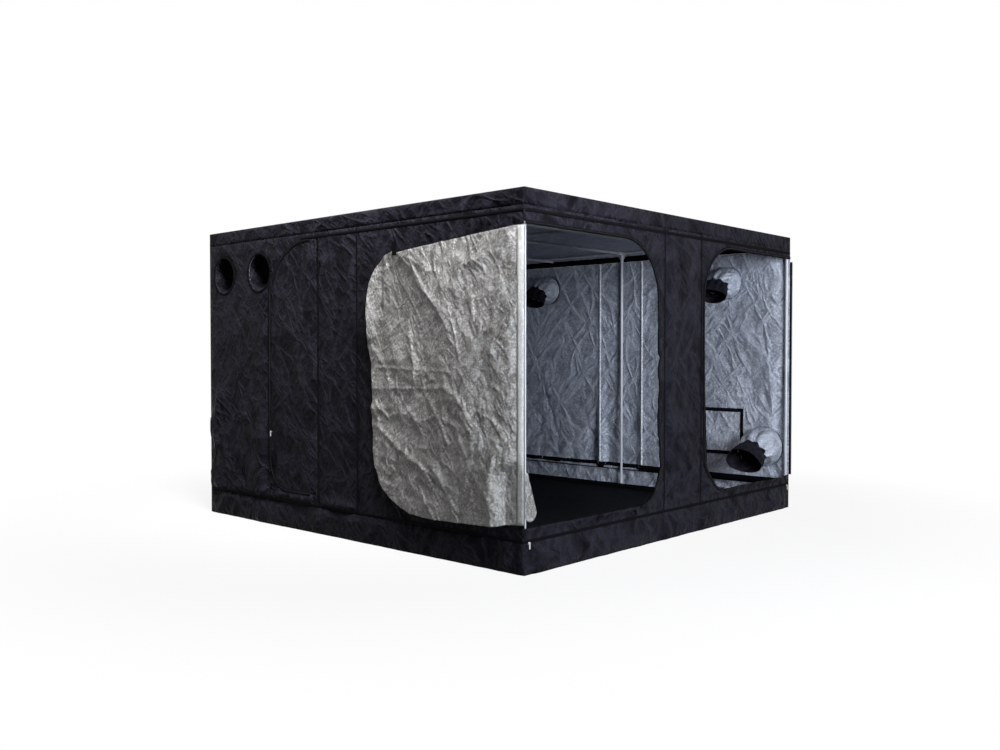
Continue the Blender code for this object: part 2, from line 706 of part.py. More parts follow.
def place_left_wall():
    """Add the left wall, and the access door that is zipped into it."""
    edge = rectangle(SIDE_WALL_INSET, WALL_LOW, TENT_DEPTH - SIDE_WALL_INSET, WALL_HIGH)
    doorway = [(ACCESS_HINGE + across, up) for across, up in access_outline(0)]
    mesh = sheet_mesh([edge, doorway] + port_holes(LEFT_PORTS), FABRIC_THICKNESS,
                      side_wall_place(-1))
    add_part("left_wall", mesh, OUTER_CLOTH)
    hinge = Vector((-TENT_LENGTH / 2, ACCESS_HINGE - TENT_DEPTH / 2, 0))
    place = standing(AXIS_Y, AXIS_X * FABRIC_THICKNESS / 2)
    door = sheet_mesh([access_outline(-CLEARANCE)], FABRIC_THICKNESS, place)
    add_part("left_access_door", door, OUTER_CLOTH, Matrix.Translation(hinge))


def place_right_wall():
    """Add the right wall with its three ports and the vent."""
    edge = rectangle(SIDE_WALL_INSET, WALL_LOW, TENT_DEPTH - SIDE_WALL_INSET, WALL_HIGH)
    vent = rectangle(VENT_FROM_FRONT, VENT_LOW,
                     VENT_FROM_FRONT + VENT_WIDTH, VENT_LOW + VENT_HEIGHT)
    mesh = sheet_mesh([edge, vent] + port_holes(RIGHT_PORTS), FABRIC_THICKNESS,
                      side_wall_place(1))
    add_part("right_wall", mesh, OUTER_CLOTH)


def grid_surface(columns, rows, locate):
    """Lay a grid of quads on the surface that locate gives for two shares."""
    shape = bmesh.new()
    bmesh.ops.create_grid(shape, x_segments=columns, y_segments=rows, size=0.5)
    for vertex in shape.verts:
        vertex.co = locate(vertex.co.x + 0.5, vertex.co.y + 0.5)
    mesh = bpy.data.meshes.new("surface")
    shape.to_mesh(mesh)
    shape.free()
    return mesh


def thickened(mesh, thickness, offset):
    """Weld an open surface and give it a wall."""
    shape = bmesh.new()
    shape.from_mesh(mesh)
    bmesh.ops.remove_doubles(shape, verts=shape.verts, dist=WELD)
    shape.to_mesh(mesh)
    shape.free()
    item = bpy.data.objects.new("surface", mesh)
    bpy.context.scene.collection.objects.link(item)
    wall = item.modifiers.new("wall", "SOLIDIFY")
    wall.thickness = thickness
    wall.offset = offset
    return take_mesh(item)


def smooth_step(value):
    """Ease a share from nought to one without a kink at either end."""
    value = min(max(value, 0.0), 1.0)
    return value * value * (3 - 2 * value)


def leaf_edge_shares():
    """List the leaf's rows: height share and how far the free edge has drawn in."""
    height = LEAF_TOP - LEAF_BOTTOM
    rows = []
    low_share = LEAF_LOW_CORNER_HEIGHT / height
    top_share = LEAF_TOP_CORNER_HEIGHT / height
    for step in range(LEAF_LOW_ARC_STEPS):
        angle = math.pi / 2 * step / LEAF_LOW_ARC_STEPS
        rows.append((low_share * (1 - math.cos(angle)), 1 - math.sin(angle), 0))
    for step in range(LEAF_STRAIGHT_STEPS + 1):
        share = low_share + (1 - low_share - top_share) * step / LEAF_STRAIGHT_STEPS
        rows.append((share, 0, 0))
    for step in range(LEAF_TOP_ARC_STEPS):
        angle = math.pi / 2 * (step + 1) / LEAF_TOP_ARC_STEPS
        share = 1 - top_share * (1 - math.sin(angle))
        rows.append((share, 0, 1 - math.cos(angle)))
    return rows


class Leaf:
    """A door leaf, described by its distance from the hinge and its height."""

    def __init__(self, folds, columns, direction):
        self.folds = folds
        self.columns = columns
        self.direction = direction
        self.rows = leaf_edge_shares()

    def free_edge(self, share, low, top):
        """Give the leaf's width at a height share."""
        width = LEAF_WIDTH_LOW + (LEAF_WIDTH_HIGH - LEAF_WIDTH_LOW) * smooth_step(share)
        return width - low * LEAF_LOW_CORNER_WIDTH - top * LEAF_TOP_CORNER_WIDTH

    def height(self, across, share):
        """Give the height of a point, with the sag of the top and bottom edges."""
        reach = across / LEAF_WIDTH_HIGH
        low = LEAF_BOTTOM - LEAF_BOTTOM_SAG * reach
        top = LEAF_TOP - LEAF_TOP_SAG * reach
        return low + (top - low) * share

    def bulge(self, across, up):
        """Give how far the folds lift the leaf away from the wall."""
        lift = 0.0
        size = Vector((LEAF_WIDTH_HIGH, LEAF_TOP - LEAF_BOTTOM))
        point = Vector((across, up - LEAF_BOTTOM))
        for start, end, strength in self.folds:
            first = Vector((start[0] * size.x, start[1] * size.y))
            second = Vector((end[0] * size.x, end[1] * size.y))
            along = second - first
            share = min(max((point - first).dot(along) / along.length_squared, 0), 1)
            away = (point - first - along * share).length / LEAF_FOLD_WIDTH
            lift += strength * math.exp(-away * away) * LEAF_FOLD_HEIGHT
        margins = (across, LEAF_WIDTH_LOW - across, up - LEAF_BOTTOM, LEAF_TOP - up)
        for margin in margins:
            lift *= smooth_step(margin / LEAF_CALM_MARGIN)
        return lift

    def locate(self, across_share, row_share):
        """Place one grid point in the leaf's own space, with the hinge on Z."""
        index = round(row_share * (len(self.rows) - 1))
        share, low, top = self.rows[index]
        edge = self.free_edge(share, low, top)
        across = LEAF_START + (edge - LEAF_START) * across_share
        up = self.height(across, share)
        return Vector((self.direction * self.bulge(across, up), across, up))

    def mesh(self):
        """Return the folded leaf as a closed sheet."""
        surface = grid_surface(self.columns, len(self.rows) - 1, self.locate)
        return thickened(surface, LEAF_THICKNESS, 0.0)


def place_leaves():
    """Hang both door leaves on the corner welts, folded back outside the side walls."""
    near = Leaf(NEAR_LEAF_FOLD_SHARES, NEAR_LEAF_COLUMNS, -1)
    far = Leaf(FAR_LEAF_FOLD_SHARES, FAR_LEAF_COLUMNS, 1)
    deep = -TENT_DEPTH / 2 - HINGE_OFFSET
    out = TENT_LENGTH / 2 + HINGE_OFFSET
    near_hinge = Matrix.Translation((-out, deep, 0))
    far_hinge = Matrix.Translation((out, deep, 0))
    add_part("door_leaf_front_left", near.mesh(), LINING, near_hinge, smooth=True)
    add_part("door_leaf_front_right", far.mesh(), LINING, far_hinge, smooth=True)

    def strap_place(width_share, length_share):
        """Lay the strap over the leaf's top edge."""
        across = TIE_STRAP_PLACE + (width_share - 0.5) * TIE_STRAP_WIDTH
        top = near.height(across, 1.0)
        up = top - TIE_STRAP_LAP + (TIE_STRAP_LAP + TIE_STRAP_TAIL) * length_share
        lift = near.bulge(across, up) + LEAF_THICKNESS / 2 + CLEARANCE + TIE_STRAP_THICKNESS / 2
        return Vector((-lift, across, up))

    strap = thickened(grid_surface(1, TIE_STRAP_ROWS, strap_place), TIE_STRAP_THICKNESS, 0.0)
    add_part("door_tie_strap", strap, BLACK_WEBBING, near_hinge)


def place_light_flap():
    """Hang the narrow rounded flap in front of the near corner post."""
    left = -TENT_LENGTH / 2 + SIDE_WALL_INSET
    radius = LIGHT_FLAP_WIDTH / 2
    outline = [(0, LIGHT_FLAP_HIGH)]
    outline += arc((radius, LIGHT_FLAP_LOW + radius), (radius, radius), 180, 360,
                   LIGHT_FLAP_ARC_STEPS)
    outline += [(LIGHT_FLAP_TOP_WIDTH, LIGHT_FLAP_HIGH)]
    deep = -FRAME_Y - POLE_RADIUS - CLEARANCE - LIGHT_FLAP_THICKNESS / 2
    place = standing(AXIS_X, Vector((left, deep, 0)))
    add_part("corner_light_flap", sheet_mesh([outline], LIGHT_FLAP_THICKNESS, place), LINING)


def sleeve_mesh(radius, reach, droop_deg):
    """Loft a gathered cloth sleeve that runs along +X and bends down as it hangs."""
    bend = math.radians(droop_deg)
    bend_radius = (reach - SLEEVE_STRAIGHT) / bend
    wide = radius - CLEARANCE

    def locate(around_share, along_share):
        """Place one point of the sleeve, ring by ring."""
        angle = 2 * math.pi * around_share
        index = round(along_share * SLEEVE_RINGS)
        if index <= 1:
            centre = Vector((index * SLEEVE_STRAIGHT, 0, 0))
            tilt = 0
            share = 0
        else:
            share = (index - 1) / (SLEEVE_RINGS - 1)
            tilt = bend * share
            run = SLEEVE_STRAIGHT + bend_radius * math.sin(tilt)
            centre = Vector((run, 0, -bend_radius * (1 - math.cos(tilt))))
        pleat = 1 + SLEEVE_FOLD_SHARE * share * math.cos(SLEEVE_FOLDS * angle)
        size = wide * (1 - SLEEVE_TAPER_SHARE * share) * pleat
        side = Vector((0, math.cos(angle), 0))
        up = Vector((math.sin(tilt), 0, math.cos(tilt))) * math.sin(angle)
        return centre + (side + up) * size

    surface = grid_surface(PORT_SIDES, SLEEVE_RINGS, locate)
    return thickened(surface, SLEEVE_THICKNESS, -1.0)


def place_sleeves():
    """Sew a sleeve into every port, reaching into the tent."""
    for side, ports in ((-1, LEFT_PORTS), (1, RIGHT_PORTS)):
        for name, deep, height, radius, reach, droop in ports:
            mesh = sleeve_mesh(radius, reach, droop)
            spot = Vector((side * TENT_LENGTH / 2, deep - TENT_DEPTH / 2, height))
            turn = Matrix.Rotation(0 if side < 0 else math.pi, 4, "Z")
            cloth = OUTER_CLOTH if side < 0 else LINING
            add_part(name, mesh, cloth, Matrix.Translation(spot) @ turn, smooth=True)


def screen_mesh():
    """Punch an even grid of openings in the vent's flat mesh screen."""
    wide = VENT_WIDTH - 2 * CLEARANCE
    high = VENT_HEIGHT - 2 * CLEARANCE
    outlines = [rectangle(0, 0, wide, high)]
    step_across = (wide - SCREEN_WIRE) / SCREEN_COLUMNS
    step_up = (high - SCREEN_WIRE) / SCREEN_ROWS
    for column in range(SCREEN_COLUMNS):
        for row in range(SCREEN_ROWS):
            left = SCREEN_WIRE + column * step_across
            low = SCREEN_WIRE + row * step_up
            right = left + step_across - SCREEN_WIRE
            outlines.append(rectangle(left, low, right, low + step_up - SCREEN_WIRE))
    deep = VENT_FROM_FRONT - TENT_DEPTH / 2 + CLEARANCE
    across = TENT_LENGTH / 2 - FABRIC_THICKNESS / 2
    place = standing(AXIS_Y, Vector((across, deep, VENT_LOW + CLEARANCE)))
    return sheet_mesh(outlines, SCREEN_THICKNESS, place)


def place_vent():
    """Fill the vent with its screen and hang the inner flap over it."""
    add_part("vent_screen", screen_mesh(), BLACK_WEBBING)
    wide = VENT_WIDTH + 2 * FLAP_LAP
    high = VENT_HEIGHT + 2 * FLAP_LAP

    def locate(across_share, up_share):
        """Let the flap belly out a little between its edges."""
        swell = math.sin(math.pi * across_share) * math.sin(math.pi * up_share)
        return Vector((-FLAP_BELLY * swell, wide * across_share, high * (up_share - 1)))

    flap = thickened(grid_surface(FLAP_COLUMNS, FLAP_ROWS, locate), FLAP_THICKNESS, 0.0)
    inside = TENT_LENGTH / 2 - FABRIC_THICKNESS - CLEARANCE - FLAP_THICKNESS / 2
    deep = VENT_FROM_FRONT - FLAP_LAP - TENT_DEPTH / 2
    top = VENT_LOW + VENT_HEIGHT + FLAP_LAP
    add_part("vent_flap", flap, LINING, Matrix.Translation((inside, deep, top)), smooth=True)


def slider_outline():
    """Trace the slider's body, wide at the nose and narrow at the tail."""
    nose = SLIDER_WIDTH / 2
    tail = nose * SLIDER_TAIL_SHARE
    half = SLIDER_LENGTH / 2
    front = arc((half - nose, 0), (nose, nose), -90, 90, SLIDER_ROUND_STEPS)
    back = arc((tail - half, 0), (tail, tail), 90, 270, SLIDER_ROUND_STEPS)
    return front + back


def pull_outline():
    """Trace the pull tab from its eye down to its rounded end."""
    half = PULL_WIDTH / 2
    low = -PULL_LENGTH + half
    return (arc((0, low), (half, half), 180, 360, PULL_STEPS)
            + arc((0, -half), (half, half), 0, 180, PULL_STEPS))


def slider_mesh():
    """Join body, bail and pull: zip along X, faces outwards along +Y, pull hanging down."""
    face = Matrix.Rotation(math.pi / 2, 4, "X")
    lift = Matrix.Translation(AXIS_Y * SLIDER_THICKNESS / 2)
    body = sheet_mesh([slider_outline()], SLIDER_THICKNESS, lift @ face)
    bail = bpy.data.curves.new("bail", "CURVE")
    bail.dimensions = "3D"
    bail.bevel_depth = BAIL_RADIUS
    bail.bevel_resolution = 1
    bail.use_fill_caps = True
    spline = bail.splines.new("POLY")
    spline.points.add(BAIL_STEPS)
    base = SLIDER_THICKNESS - BAIL_RADIUS
    span = SLIDER_WIDTH / 2 - 2 * BAIL_RADIUS
    hoop = arc((0, base), (span, BAIL_RISE + BAIL_RADIUS), 0, 180, BAIL_STEPS)
    for point, (across, up) in zip(spline.points, hoop):
        point.co = (0, up, across, 1.0)
    item = bpy.data.objects.new("bail", bail)
    bpy.context.scene.collection.objects.link(item)
    bail_mesh = take_mesh(item, turn_out=True)
    eye = (0, -PULL_WIDTH / 2)
    hole = ring(eye, PULL_HOLE_RADIUS, PULL_HOLE_SIDES)
    pull = sheet_mesh([pull_outline(), hole], PULL_THICKNESS, face)
    reach = SLIDER_THICKNESS + BAIL_RISE / 2
    pull.transform(Matrix.Translation((0, reach, PULL_WIDTH / 2 - PULL_HOLE_RADIUS)))
    return combine(body, [bail_mesh, pull], "UNION")


def place_sliders():
    """Park a slider on each zip."""
    mesh = slider_mesh()
    low = BASE_BAND_HEIGHT
    front = -TENT_DEPTH / 2 - CLEARANCE
    out = Matrix.Rotation(math.pi, 4, "Z")
    for name, side in (("zip_slider_front_left", -1), ("zip_slider_front_right", 1)):
        across = side * (TENT_LENGTH / 2 - FRONT_SLIDER_INSET)
        place = Matrix.Translation((across, front, low)) @ out
        add_part(name, mesh, ZIP_METAL, place, smooth=True)
    edge = ACCESS_HINGE + ACCESS_WIDTH - SLIDER_WIDTH - TENT_DEPTH / 2
    spot = Vector((-TENT_LENGTH / 2 - CLEARANCE, edge, ACCESS_SLIDER_HEIGHT))
    turn = Matrix.Rotation(math.pi / 2, 4, "Z")
    add_part("zip_slider_left", mesh, ZIP_METAL, Matrix.Translation(spot) @ turn, smooth=True)


clear_scene()
PARTS = new_collection("indoor_grow_tent")
OUTER_CLOTH = new_material("outer_cloth", (0.018, 0.018, 0.023), 0.62)
LINING = new_material("silver_lining", (0.55, 0.55, 0.53), 0.38, 0.35)
BLACK_WEBBING = new_material("black_webbing", (0.012, 0.012, 0.013), 0.8)
MAT_RUBBER = new_material("floor_mat", (0.015, 0.016, 0.018), 0.55)
POLE_PAINT = new_material("pole_paint", (0.78, 0.79, 0.8), 0.35, 0.0)
FITTING_PLASTIC = new_material("fitting_plastic", (0.72, 0.73, 0.74), 0.45)
ZIP_METAL = new_material("zip_metal", (0.62, 0.63, 0.65), 0.28, 1.0)

place_tray_and_roof()
place_corners()
place_tees()
place_poles()
place_ceiling()
place_hanging_bars()
place_front_wall()
place_back_wall()
place_left_wall()
place_right_wall()
place_leaves()
place_light_flap()
place_sleeves()
place_vent()
place_sliders()
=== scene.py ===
# %% [markdown]
# # An indoor grow tent, dressed over its measured frame
# The tent is a cover of black cloth with a silver lining, pulled over a frame of white poles.
# The poles and fittings are hard parts that were measured and built first, so they are loaded
# as they are. The soft parts come with them only as plain stand-ins, and each one gets its
# real cloth here: creases from packing, crumpled feet, bindings, zips and gathered sleeves.

# %% Load the measured frame
import math

import bpy
import numpy as np
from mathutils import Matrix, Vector


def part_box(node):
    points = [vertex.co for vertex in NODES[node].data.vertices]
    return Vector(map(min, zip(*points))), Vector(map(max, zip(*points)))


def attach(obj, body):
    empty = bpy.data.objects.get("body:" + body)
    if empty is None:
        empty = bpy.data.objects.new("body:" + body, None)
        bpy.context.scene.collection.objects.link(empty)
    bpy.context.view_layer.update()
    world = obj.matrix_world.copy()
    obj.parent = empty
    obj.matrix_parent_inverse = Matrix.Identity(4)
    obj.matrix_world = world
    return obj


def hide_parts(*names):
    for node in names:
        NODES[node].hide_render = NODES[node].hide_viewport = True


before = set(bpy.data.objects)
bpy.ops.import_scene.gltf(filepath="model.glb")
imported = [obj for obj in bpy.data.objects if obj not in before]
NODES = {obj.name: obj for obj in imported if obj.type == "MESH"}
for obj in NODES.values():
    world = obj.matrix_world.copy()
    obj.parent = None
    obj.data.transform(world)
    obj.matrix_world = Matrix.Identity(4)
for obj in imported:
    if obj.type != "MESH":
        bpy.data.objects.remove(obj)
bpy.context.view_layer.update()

# %% [markdown]
# The main sizes are read from the loaded parts, so that every cloth lands on its own frame.
# The tray gives the tent's footprint and the height of its base band, and the roof gives the
# top. The outlines of the doorways and ports are the real openings, in metres.

# %% Sizes taken from the frame, and the openings of the cover
TRAY_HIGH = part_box("base_tray")[1]
ROOF_LOW, ROOF_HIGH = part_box("roof_cover")
WALL_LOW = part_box("back_wall")[0].z
WALL_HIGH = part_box("back_wall")[1].z
HALF = TRAY_HIGH.x
SPAN = 2 * HALF
BAND_TOP = TRAY_HIGH.z
ROOF_EDGE = ROOF_LOW.z
TOP = ROOF_HIGH.z
HINGE = HALF + 0.012

SILL = 0.245
NEAR_WIDTH, NEAR_HEAD = 1.235, 1.82
FAR_WIDTH, FAR_HEAD = 1.23, 1.85
TOP_RADIUS, LOW_RADIUS = 0.35, 0.22
ACCESS_HINGE, ACCESS_WIDTH, ACCESS_HEAD = 1.744, 0.516, 1.87
ACCESS_TOP_RADIUS, ACCESS_LOW_RADIUS = 0.42, 0.2
PANEL_SEAMS = (1.307, 1.737)

# Each sleeve: name, wall, distance from the front, height, radius, reach, and droop in degrees.
SLEEVES = (
    ("left_inner", "left", 2.37, 1.69, 0.13, 0.26, 62),
    ("left_corner", "left", 2.80, 1.69, 0.13, 0.26, 62),
    ("right_back", "right", 2.32, 1.71, 0.125, 0.27, 60),
    ("right_front", "right", 0.52, 1.69, 0.125, 0.27, 55),
    ("right_low", "right", 0.20, 0.44, 0.15, 0.34, 32),
)
VENT_NEAR, VENT_LOW, VENT_FAR, VENT_HIGH = 0.39, 0.38, 0.84, 0.70
print("Footprint", round(SPAN, 3), "m, band top", round(BAND_TOP, 3), "m, top", round(TOP, 3), "m")

# %% [markdown]
# The camera could be placed by eye. This one was worked out from the eight corners of the tent
# in the photograph, so that the render can be laid over it. It stands about five metres from
# the near corner, at chest height, and looks down by little more than a degree.

# %% The camera
CAMERA_PLACE = (-5.2272, -4.7356, 1.1528)
CAMERA_YAW = 0.7402
CAMERA_PITCH = 0.0236
CAMERA_LENS = 34.667
CAMERA_SENSOR = 36.0
camera_data = bpy.data.cameras.new("camera")
camera_data.lens = CAMERA_LENS
camera_data.sensor_width = CAMERA_SENSOR
camera = bpy.data.objects.new("camera", camera_data)
camera.location = CAMERA_PLACE
camera.rotation_euler = (math.pi / 2 - CAMERA_PITCH, 0, CAMERA_YAW - math.pi / 2)
bpy.context.scene.collection.objects.link(camera)
bpy.context.scene.camera = camera
bpy.context.scene.view_settings.view_transform = "Standard"
print("Camera at", CAMERA_PLACE)

# %% [markdown]
# The real light is soft and comes mostly from the front, so the lining glows while the cloth
# stays black. Four square soft boxes do the same: a narrow one above rakes over the creases of
# the folded door, a large cool one in front fills the inside, and two more light the left wall
# and the back.

# %% The lights
def add_light(name, place, target, size, power, tint=(1.0, 1.0, 1.0), spread=180):
    """Hang a square soft box and aim it; a narrow spread, in degrees, lights its middle most."""
    data = bpy.data.lights.new(name, "AREA")
    data.shape = "SQUARE"
    data.color = tint
    data.spread = math.radians(spread)
    data.size = size
    data.energy = power
    light = bpy.data.objects.new(name, data)
    light.location = place
    aim = Vector(target) - Vector(place)
    light.rotation_euler = aim.to_track_quat("-Z", "Y").to_euler()
    bpy.context.scene.collection.objects.link(light)


add_light("key", (-3.0, -2.9, 5.0), (-1.3, -0.1, 2.6), 1.3, 112, spread=60)
add_light("front fill", (-1.9, -6.4, 1.8), (0.2, 0, 1.0), 2.2, 440, (0.84, 0.92, 1.0))
add_light("side fill", (-8.5, -5.5, 2.4), (0, 0, 1.0), 3.5, 22)
add_light("back", (6.0, 6.5, 4.5), (0, 0, 1.0), 4.0, 250)
print("Lights:", [light.name for light in bpy.data.lights])

# %% [markdown]
# Materials could be wired by hand in the shader editor. In code a node tree is easier to read
# when every node and link is one short call, so these helpers add a node, write its plain
# numbers, join two sockets, and put a sum between sockets or numbers.

# %% Helpers for node trees
def add_node(tree, kind, **settings):
    """Add a node and set what is given by name."""
    made = tree.nodes.new(kind)
    for name, value in settings.items():
        setattr(made, name, value)
    return made


def feed(tree, value, socket):
    """Link a socket or write a plain value."""
    if isinstance(value, bpy.types.NodeSocket):
        tree.links.new(value, socket)
    else:
        socket.default_value = value


def preset(node, **values):
    """Write plain numbers on a node's inputs by name; an underscore stands for a space."""
    for name, value in values.items():
        node.inputs[name.replace("_", " ")].default_value = value
    return node


def maths(tree, operation, *values):
    """Put a maths node between sockets or values and return its output."""
    made = add_node(tree, "ShaderNodeMath", operation=operation)
    for socket, value in zip(made.inputs, values):
        feed(tree, value, socket)
    return made.outputs[0]


print("Helpers for nodes are ready")

# %% [markdown]
# The picture has a plain white ground with a faint shadow under the tent. The background and the
# floor are therefore white for the camera and for mirrors, while what they send on to the cloth
# is kept low, so black stays black and the silver doesn't burn out. Light Path tells the two
# kinds of ray apart.

# %% The background
def seen_directly(tree):
    """Give 1 for what the camera, a mirror or glass sees, and 0 for soft light."""
    path = add_node(tree, "ShaderNodeLightPath")
    mirrored = maths(tree, "MAXIMUM", path.outputs["Is Glossy Ray"],
                     path.outputs["Is Transmission Ray"])
    return maths(tree, "MAXIMUM", path.outputs["Is Camera Ray"], mirrored)


def mixed(tree, share, first, second):
    """Mix two shaders by a share."""
    mix = add_node(tree, "ShaderNodeMixShader")
    for value, socket in zip((share, first.outputs[0], second.outputs[0]), mix.inputs):
        feed(tree, value, socket)
    return mix.outputs[0]


SOFT_LIGHT = (0.93, 0.95, 1.0, 1.0)
SOFT_STRENGTH = 0.10
WHITE = (1.0, 1.0, 1.0, 1.0)
world = bpy.data.worlds.new("studio")
bpy.context.scene.world = world
world.use_nodes = True
world_tree = world.node_tree
world_tree.nodes.clear()
soft = preset(add_node(world_tree, "ShaderNodeBackground"), Color=SOFT_LIGHT, Strength=SOFT_STRENGTH)
plain = preset(add_node(world_tree, "ShaderNodeBackground"), Color=WHITE, Strength=1.0)
world_end = add_node(world_tree, "ShaderNodeOutputWorld")
feed(world_tree, mixed(world_tree, seen_directly(world_tree), soft, plain), world_end.inputs["Surface"])
print("Background:", world.name)

# %% [markdown]
# The floor is one large plane. Near the tent it is a matt white that takes the shadow, and
# further out it fades into glowing paper, so no horizon shows.

# %% The floor
FLOOR_SIZE = 90
FLOOR_DROP = 0.001
SHADOW_REACH, PAPER_FROM = 2.2, 4.2
PAPER_UNDER_TENT = 0.88
FLOOR_WHITE, FLOOR_BOUNCE = 0.77, 0.08
bpy.ops.mesh.primitive_plane_add(size=FLOOR_SIZE, location=(0, 0, -FLOOR_DROP))
floor = bpy.context.object
floor.name = "studio_floor"
floor_finish = bpy.data.materials.new("studio_floor")
floor_finish.use_nodes = True
floor_tree = floor_finish.node_tree
floor_tree.nodes.clear()
ground = add_node(floor_tree, "ShaderNodeTexCoord").outputs["Object"]
distance = add_node(floor_tree, "ShaderNodeVectorMath", operation="LENGTH")
feed(floor_tree, ground, distance.inputs[0])
fade = preset(add_node(floor_tree, "ShaderNodeMapRange", interpolation_type="SMOOTHSTEP"),
              From_Min=SHADOW_REACH, From_Max=PAPER_FROM, To_Min=PAPER_UNDER_TENT, To_Max=1.0)
feed(floor_tree, distance.outputs["Value"], fade.inputs["Value"])
matte = add_node(floor_tree, "ShaderNodeBsdfDiffuse")
shown = maths(floor_tree, "MULTIPLY_ADD", seen_directly(floor_tree), FLOOR_WHITE, FLOOR_BOUNCE)
feed(floor_tree, shown, matte.inputs["Color"])
paper = add_node(floor_tree, "ShaderNodeEmission")
papery = maths(floor_tree, "MULTIPLY", seen_directly(floor_tree), fade.outputs["Result"])
floor_end = add_node(floor_tree, "ShaderNodeOutputMaterial")
feed(floor_tree, mixed(floor_tree, papery, matte, paper), floor_end.inputs["Surface"])
floor.data.materials.append(floor_finish)
print("Floor is", FLOOR_SIZE, "m wide")

# %% [markdown]
# Six small patterns are shared by the finishes. They could be painted as pictures, but a pattern
# made of nodes stays sharp at any distance and repeats nowhere. Each one is a node group that
# puts out only a height or a mask, in metres of the flat cloth. The first is a plain weave.

# %% The weave
VECTOR, FLOAT = "NodeSocketVector", "NodeSocketFloat"


def new_group(name, inputs, outputs):
    """Start a node group that reads a place and some numbers."""
    group = bpy.data.node_groups.new(name, "ShaderNodeTree")
    group.interface.new_socket("Place", in_out="INPUT", socket_type=VECTOR)
    for label, value in inputs.items():
        socket = group.interface.new_socket(label, in_out="INPUT", socket_type=FLOAT)
        socket.default_value = value
    for label in outputs:
        group.interface.new_socket(label, in_out="OUTPUT", socket_type=FLOAT)
    return group, group.nodes.new("NodeGroupInput"), group.nodes.new("NodeGroupOutput")


def scaled(tree, place, size):
    """Divide a place by a pattern's size and split it."""
    grow = maths(tree, "DIVIDE", 1.0, size)
    spread = add_node(tree, "ShaderNodeVectorMath", operation="SCALE")
    feed(tree, place, spread.inputs[0])
    feed(tree, grow, spread.inputs["Scale"])
    split = add_node(tree, "ShaderNodeSeparateXYZ")
    feed(tree, spread.outputs[0], split.inputs[0])
    return split.outputs["X"], split.outputs["Y"]


def weave_group():
    """Threads that pass over and under each other."""
    tree, start, end = new_group("plain weave", {"Thread": 0.001}, ["Height"])
    across, along = scaled(tree, start.outputs["Place"], start.outputs["Thread"])
    first = maths(tree, "SINE", maths(tree, "MULTIPLY", across, math.pi))
    second = maths(tree, "SINE", maths(tree, "MULTIPLY", along, math.pi))
    feed(tree, maths(tree, "ABSOLUTE", maths(tree, "MULTIPLY", first, second)), end.inputs["Height"])
    return tree


WEAVE = weave_group()
print("Pattern:", WEAVE.name)

# %% [markdown]
# Cloth that was packed small has facets with sharp edges. Real ones could be modelled one by
# one, but the small ones are too many. Bowls round scattered points, in three sizes, meet in
# sharp edges by themselves, and each bowl's own random number gives the facet a painted shade,
# as if it were turned to or from the light.

# %% The crumples
def crumple_group():
    """Facets with sharp edges, large and small, as in cloth that was folded and shaken out."""
    tree, start, end = new_group("crumple", {"Size": 0.05}, ["Height", "Facet"])
    bend = preset(add_node(tree, "ShaderNodeTexNoise"), Scale=9.0)
    feed(tree, start.outputs["Place"], bend.inputs["Vector"])
    push = add_node(tree, "ShaderNodeVectorMath", operation="MULTIPLY_ADD")
    feed(tree, bend.outputs["Color"], push.inputs[0])
    push.inputs[1].default_value = (0.06, 0.06, 0.06)
    feed(tree, start.outputs["Place"], push.inputs[2])
    total = painted_facet_shade = 0.0
    for step, share in ((1.0, 0.6), (0.4, 0.28), (0.17, 0.12)):
        facets = add_node(tree, "ShaderNodeTexVoronoi", feature="F1")
        size = maths(tree, "MULTIPLY", start.outputs["Size"], step)
        feed(tree, maths(tree, "DIVIDE", 1.0, size), facets.inputs["Scale"])
        feed(tree, push.outputs[0], facets.inputs["Vector"])
        bowl = maths(tree, "POWER", facets.outputs["Distance"], 2.0)
        total = maths(tree, "MULTIPLY_ADD", bowl, share, total)
        # Each bowl's random number becomes a painted shade for its facet.
        own = add_node(tree, "ShaderNodeSeparateColor")
        feed(tree, facets.outputs["Color"], own.inputs[0])
        painted_facet_shade = maths(tree, "MULTIPLY_ADD", own.outputs["Red"], share, painted_facet_shade)
    feed(tree, total, end.inputs["Height"])
    feed(tree, painted_facet_shade, end.inputs["Facet"])
    return tree


CRUMPLE = crumple_group()
print("Pattern:", CRUMPLE.name)

# %% [markdown]
# Long wrinkles run over the facets in two slanting directions. A noise crosses its middle value
# along winding lines. Those lines, drawn out one way and sharpened, make the folds.

# %% The wrinkles
def wrinkle_group():
    """Long sharp folds that run in two slanting directions."""
    tree, start, end = new_group("wrinkles", {"Size": 0.1}, ["Height"])
    total = 0.0
    for turn, shift in ((0.5, 0.0), (-0.75, 3.0)):
        turned = add_node(tree, "ShaderNodeVectorRotate", rotation_type="Z_AXIS")
        feed(tree, start.outputs["Place"], turned.inputs["Vector"])
        turned.inputs["Angle"].default_value = turn
        drawn_out = add_node(tree, "ShaderNodeVectorMath", operation="MULTIPLY_ADD")
        feed(tree, turned.outputs[0], drawn_out.inputs[0])
        drawn_out.inputs[1].default_value = (1.0, 0.32, 1.0)
        drawn_out.inputs[2].default_value = (shift, shift, 0.0)
        noise = preset(add_node(tree, "ShaderNodeTexNoise"), Detail=3.0, Distortion=0.5)
        feed(tree, drawn_out.outputs[0], noise.inputs["Vector"])
        feed(tree, maths(tree, "DIVIDE", 1.0, start.outputs["Size"]), noise.inputs["Scale"])
        away = maths(tree, "ABSOLUTE", maths(tree, "SUBTRACT", noise.outputs["Fac"], 0.5))
        crest = maths(tree, "MAXIMUM", maths(tree, "MULTIPLY_ADD", away, -9.0, 1.0), 0.0)
        total = maths(tree, "MAXIMUM", maths(tree, "POWER", crest, 1.6), total)
    feed(tree, total, end.inputs["Height"])
    return tree


WRINKLE = wrinkle_group()
print("Pattern:", WRINKLE.name)
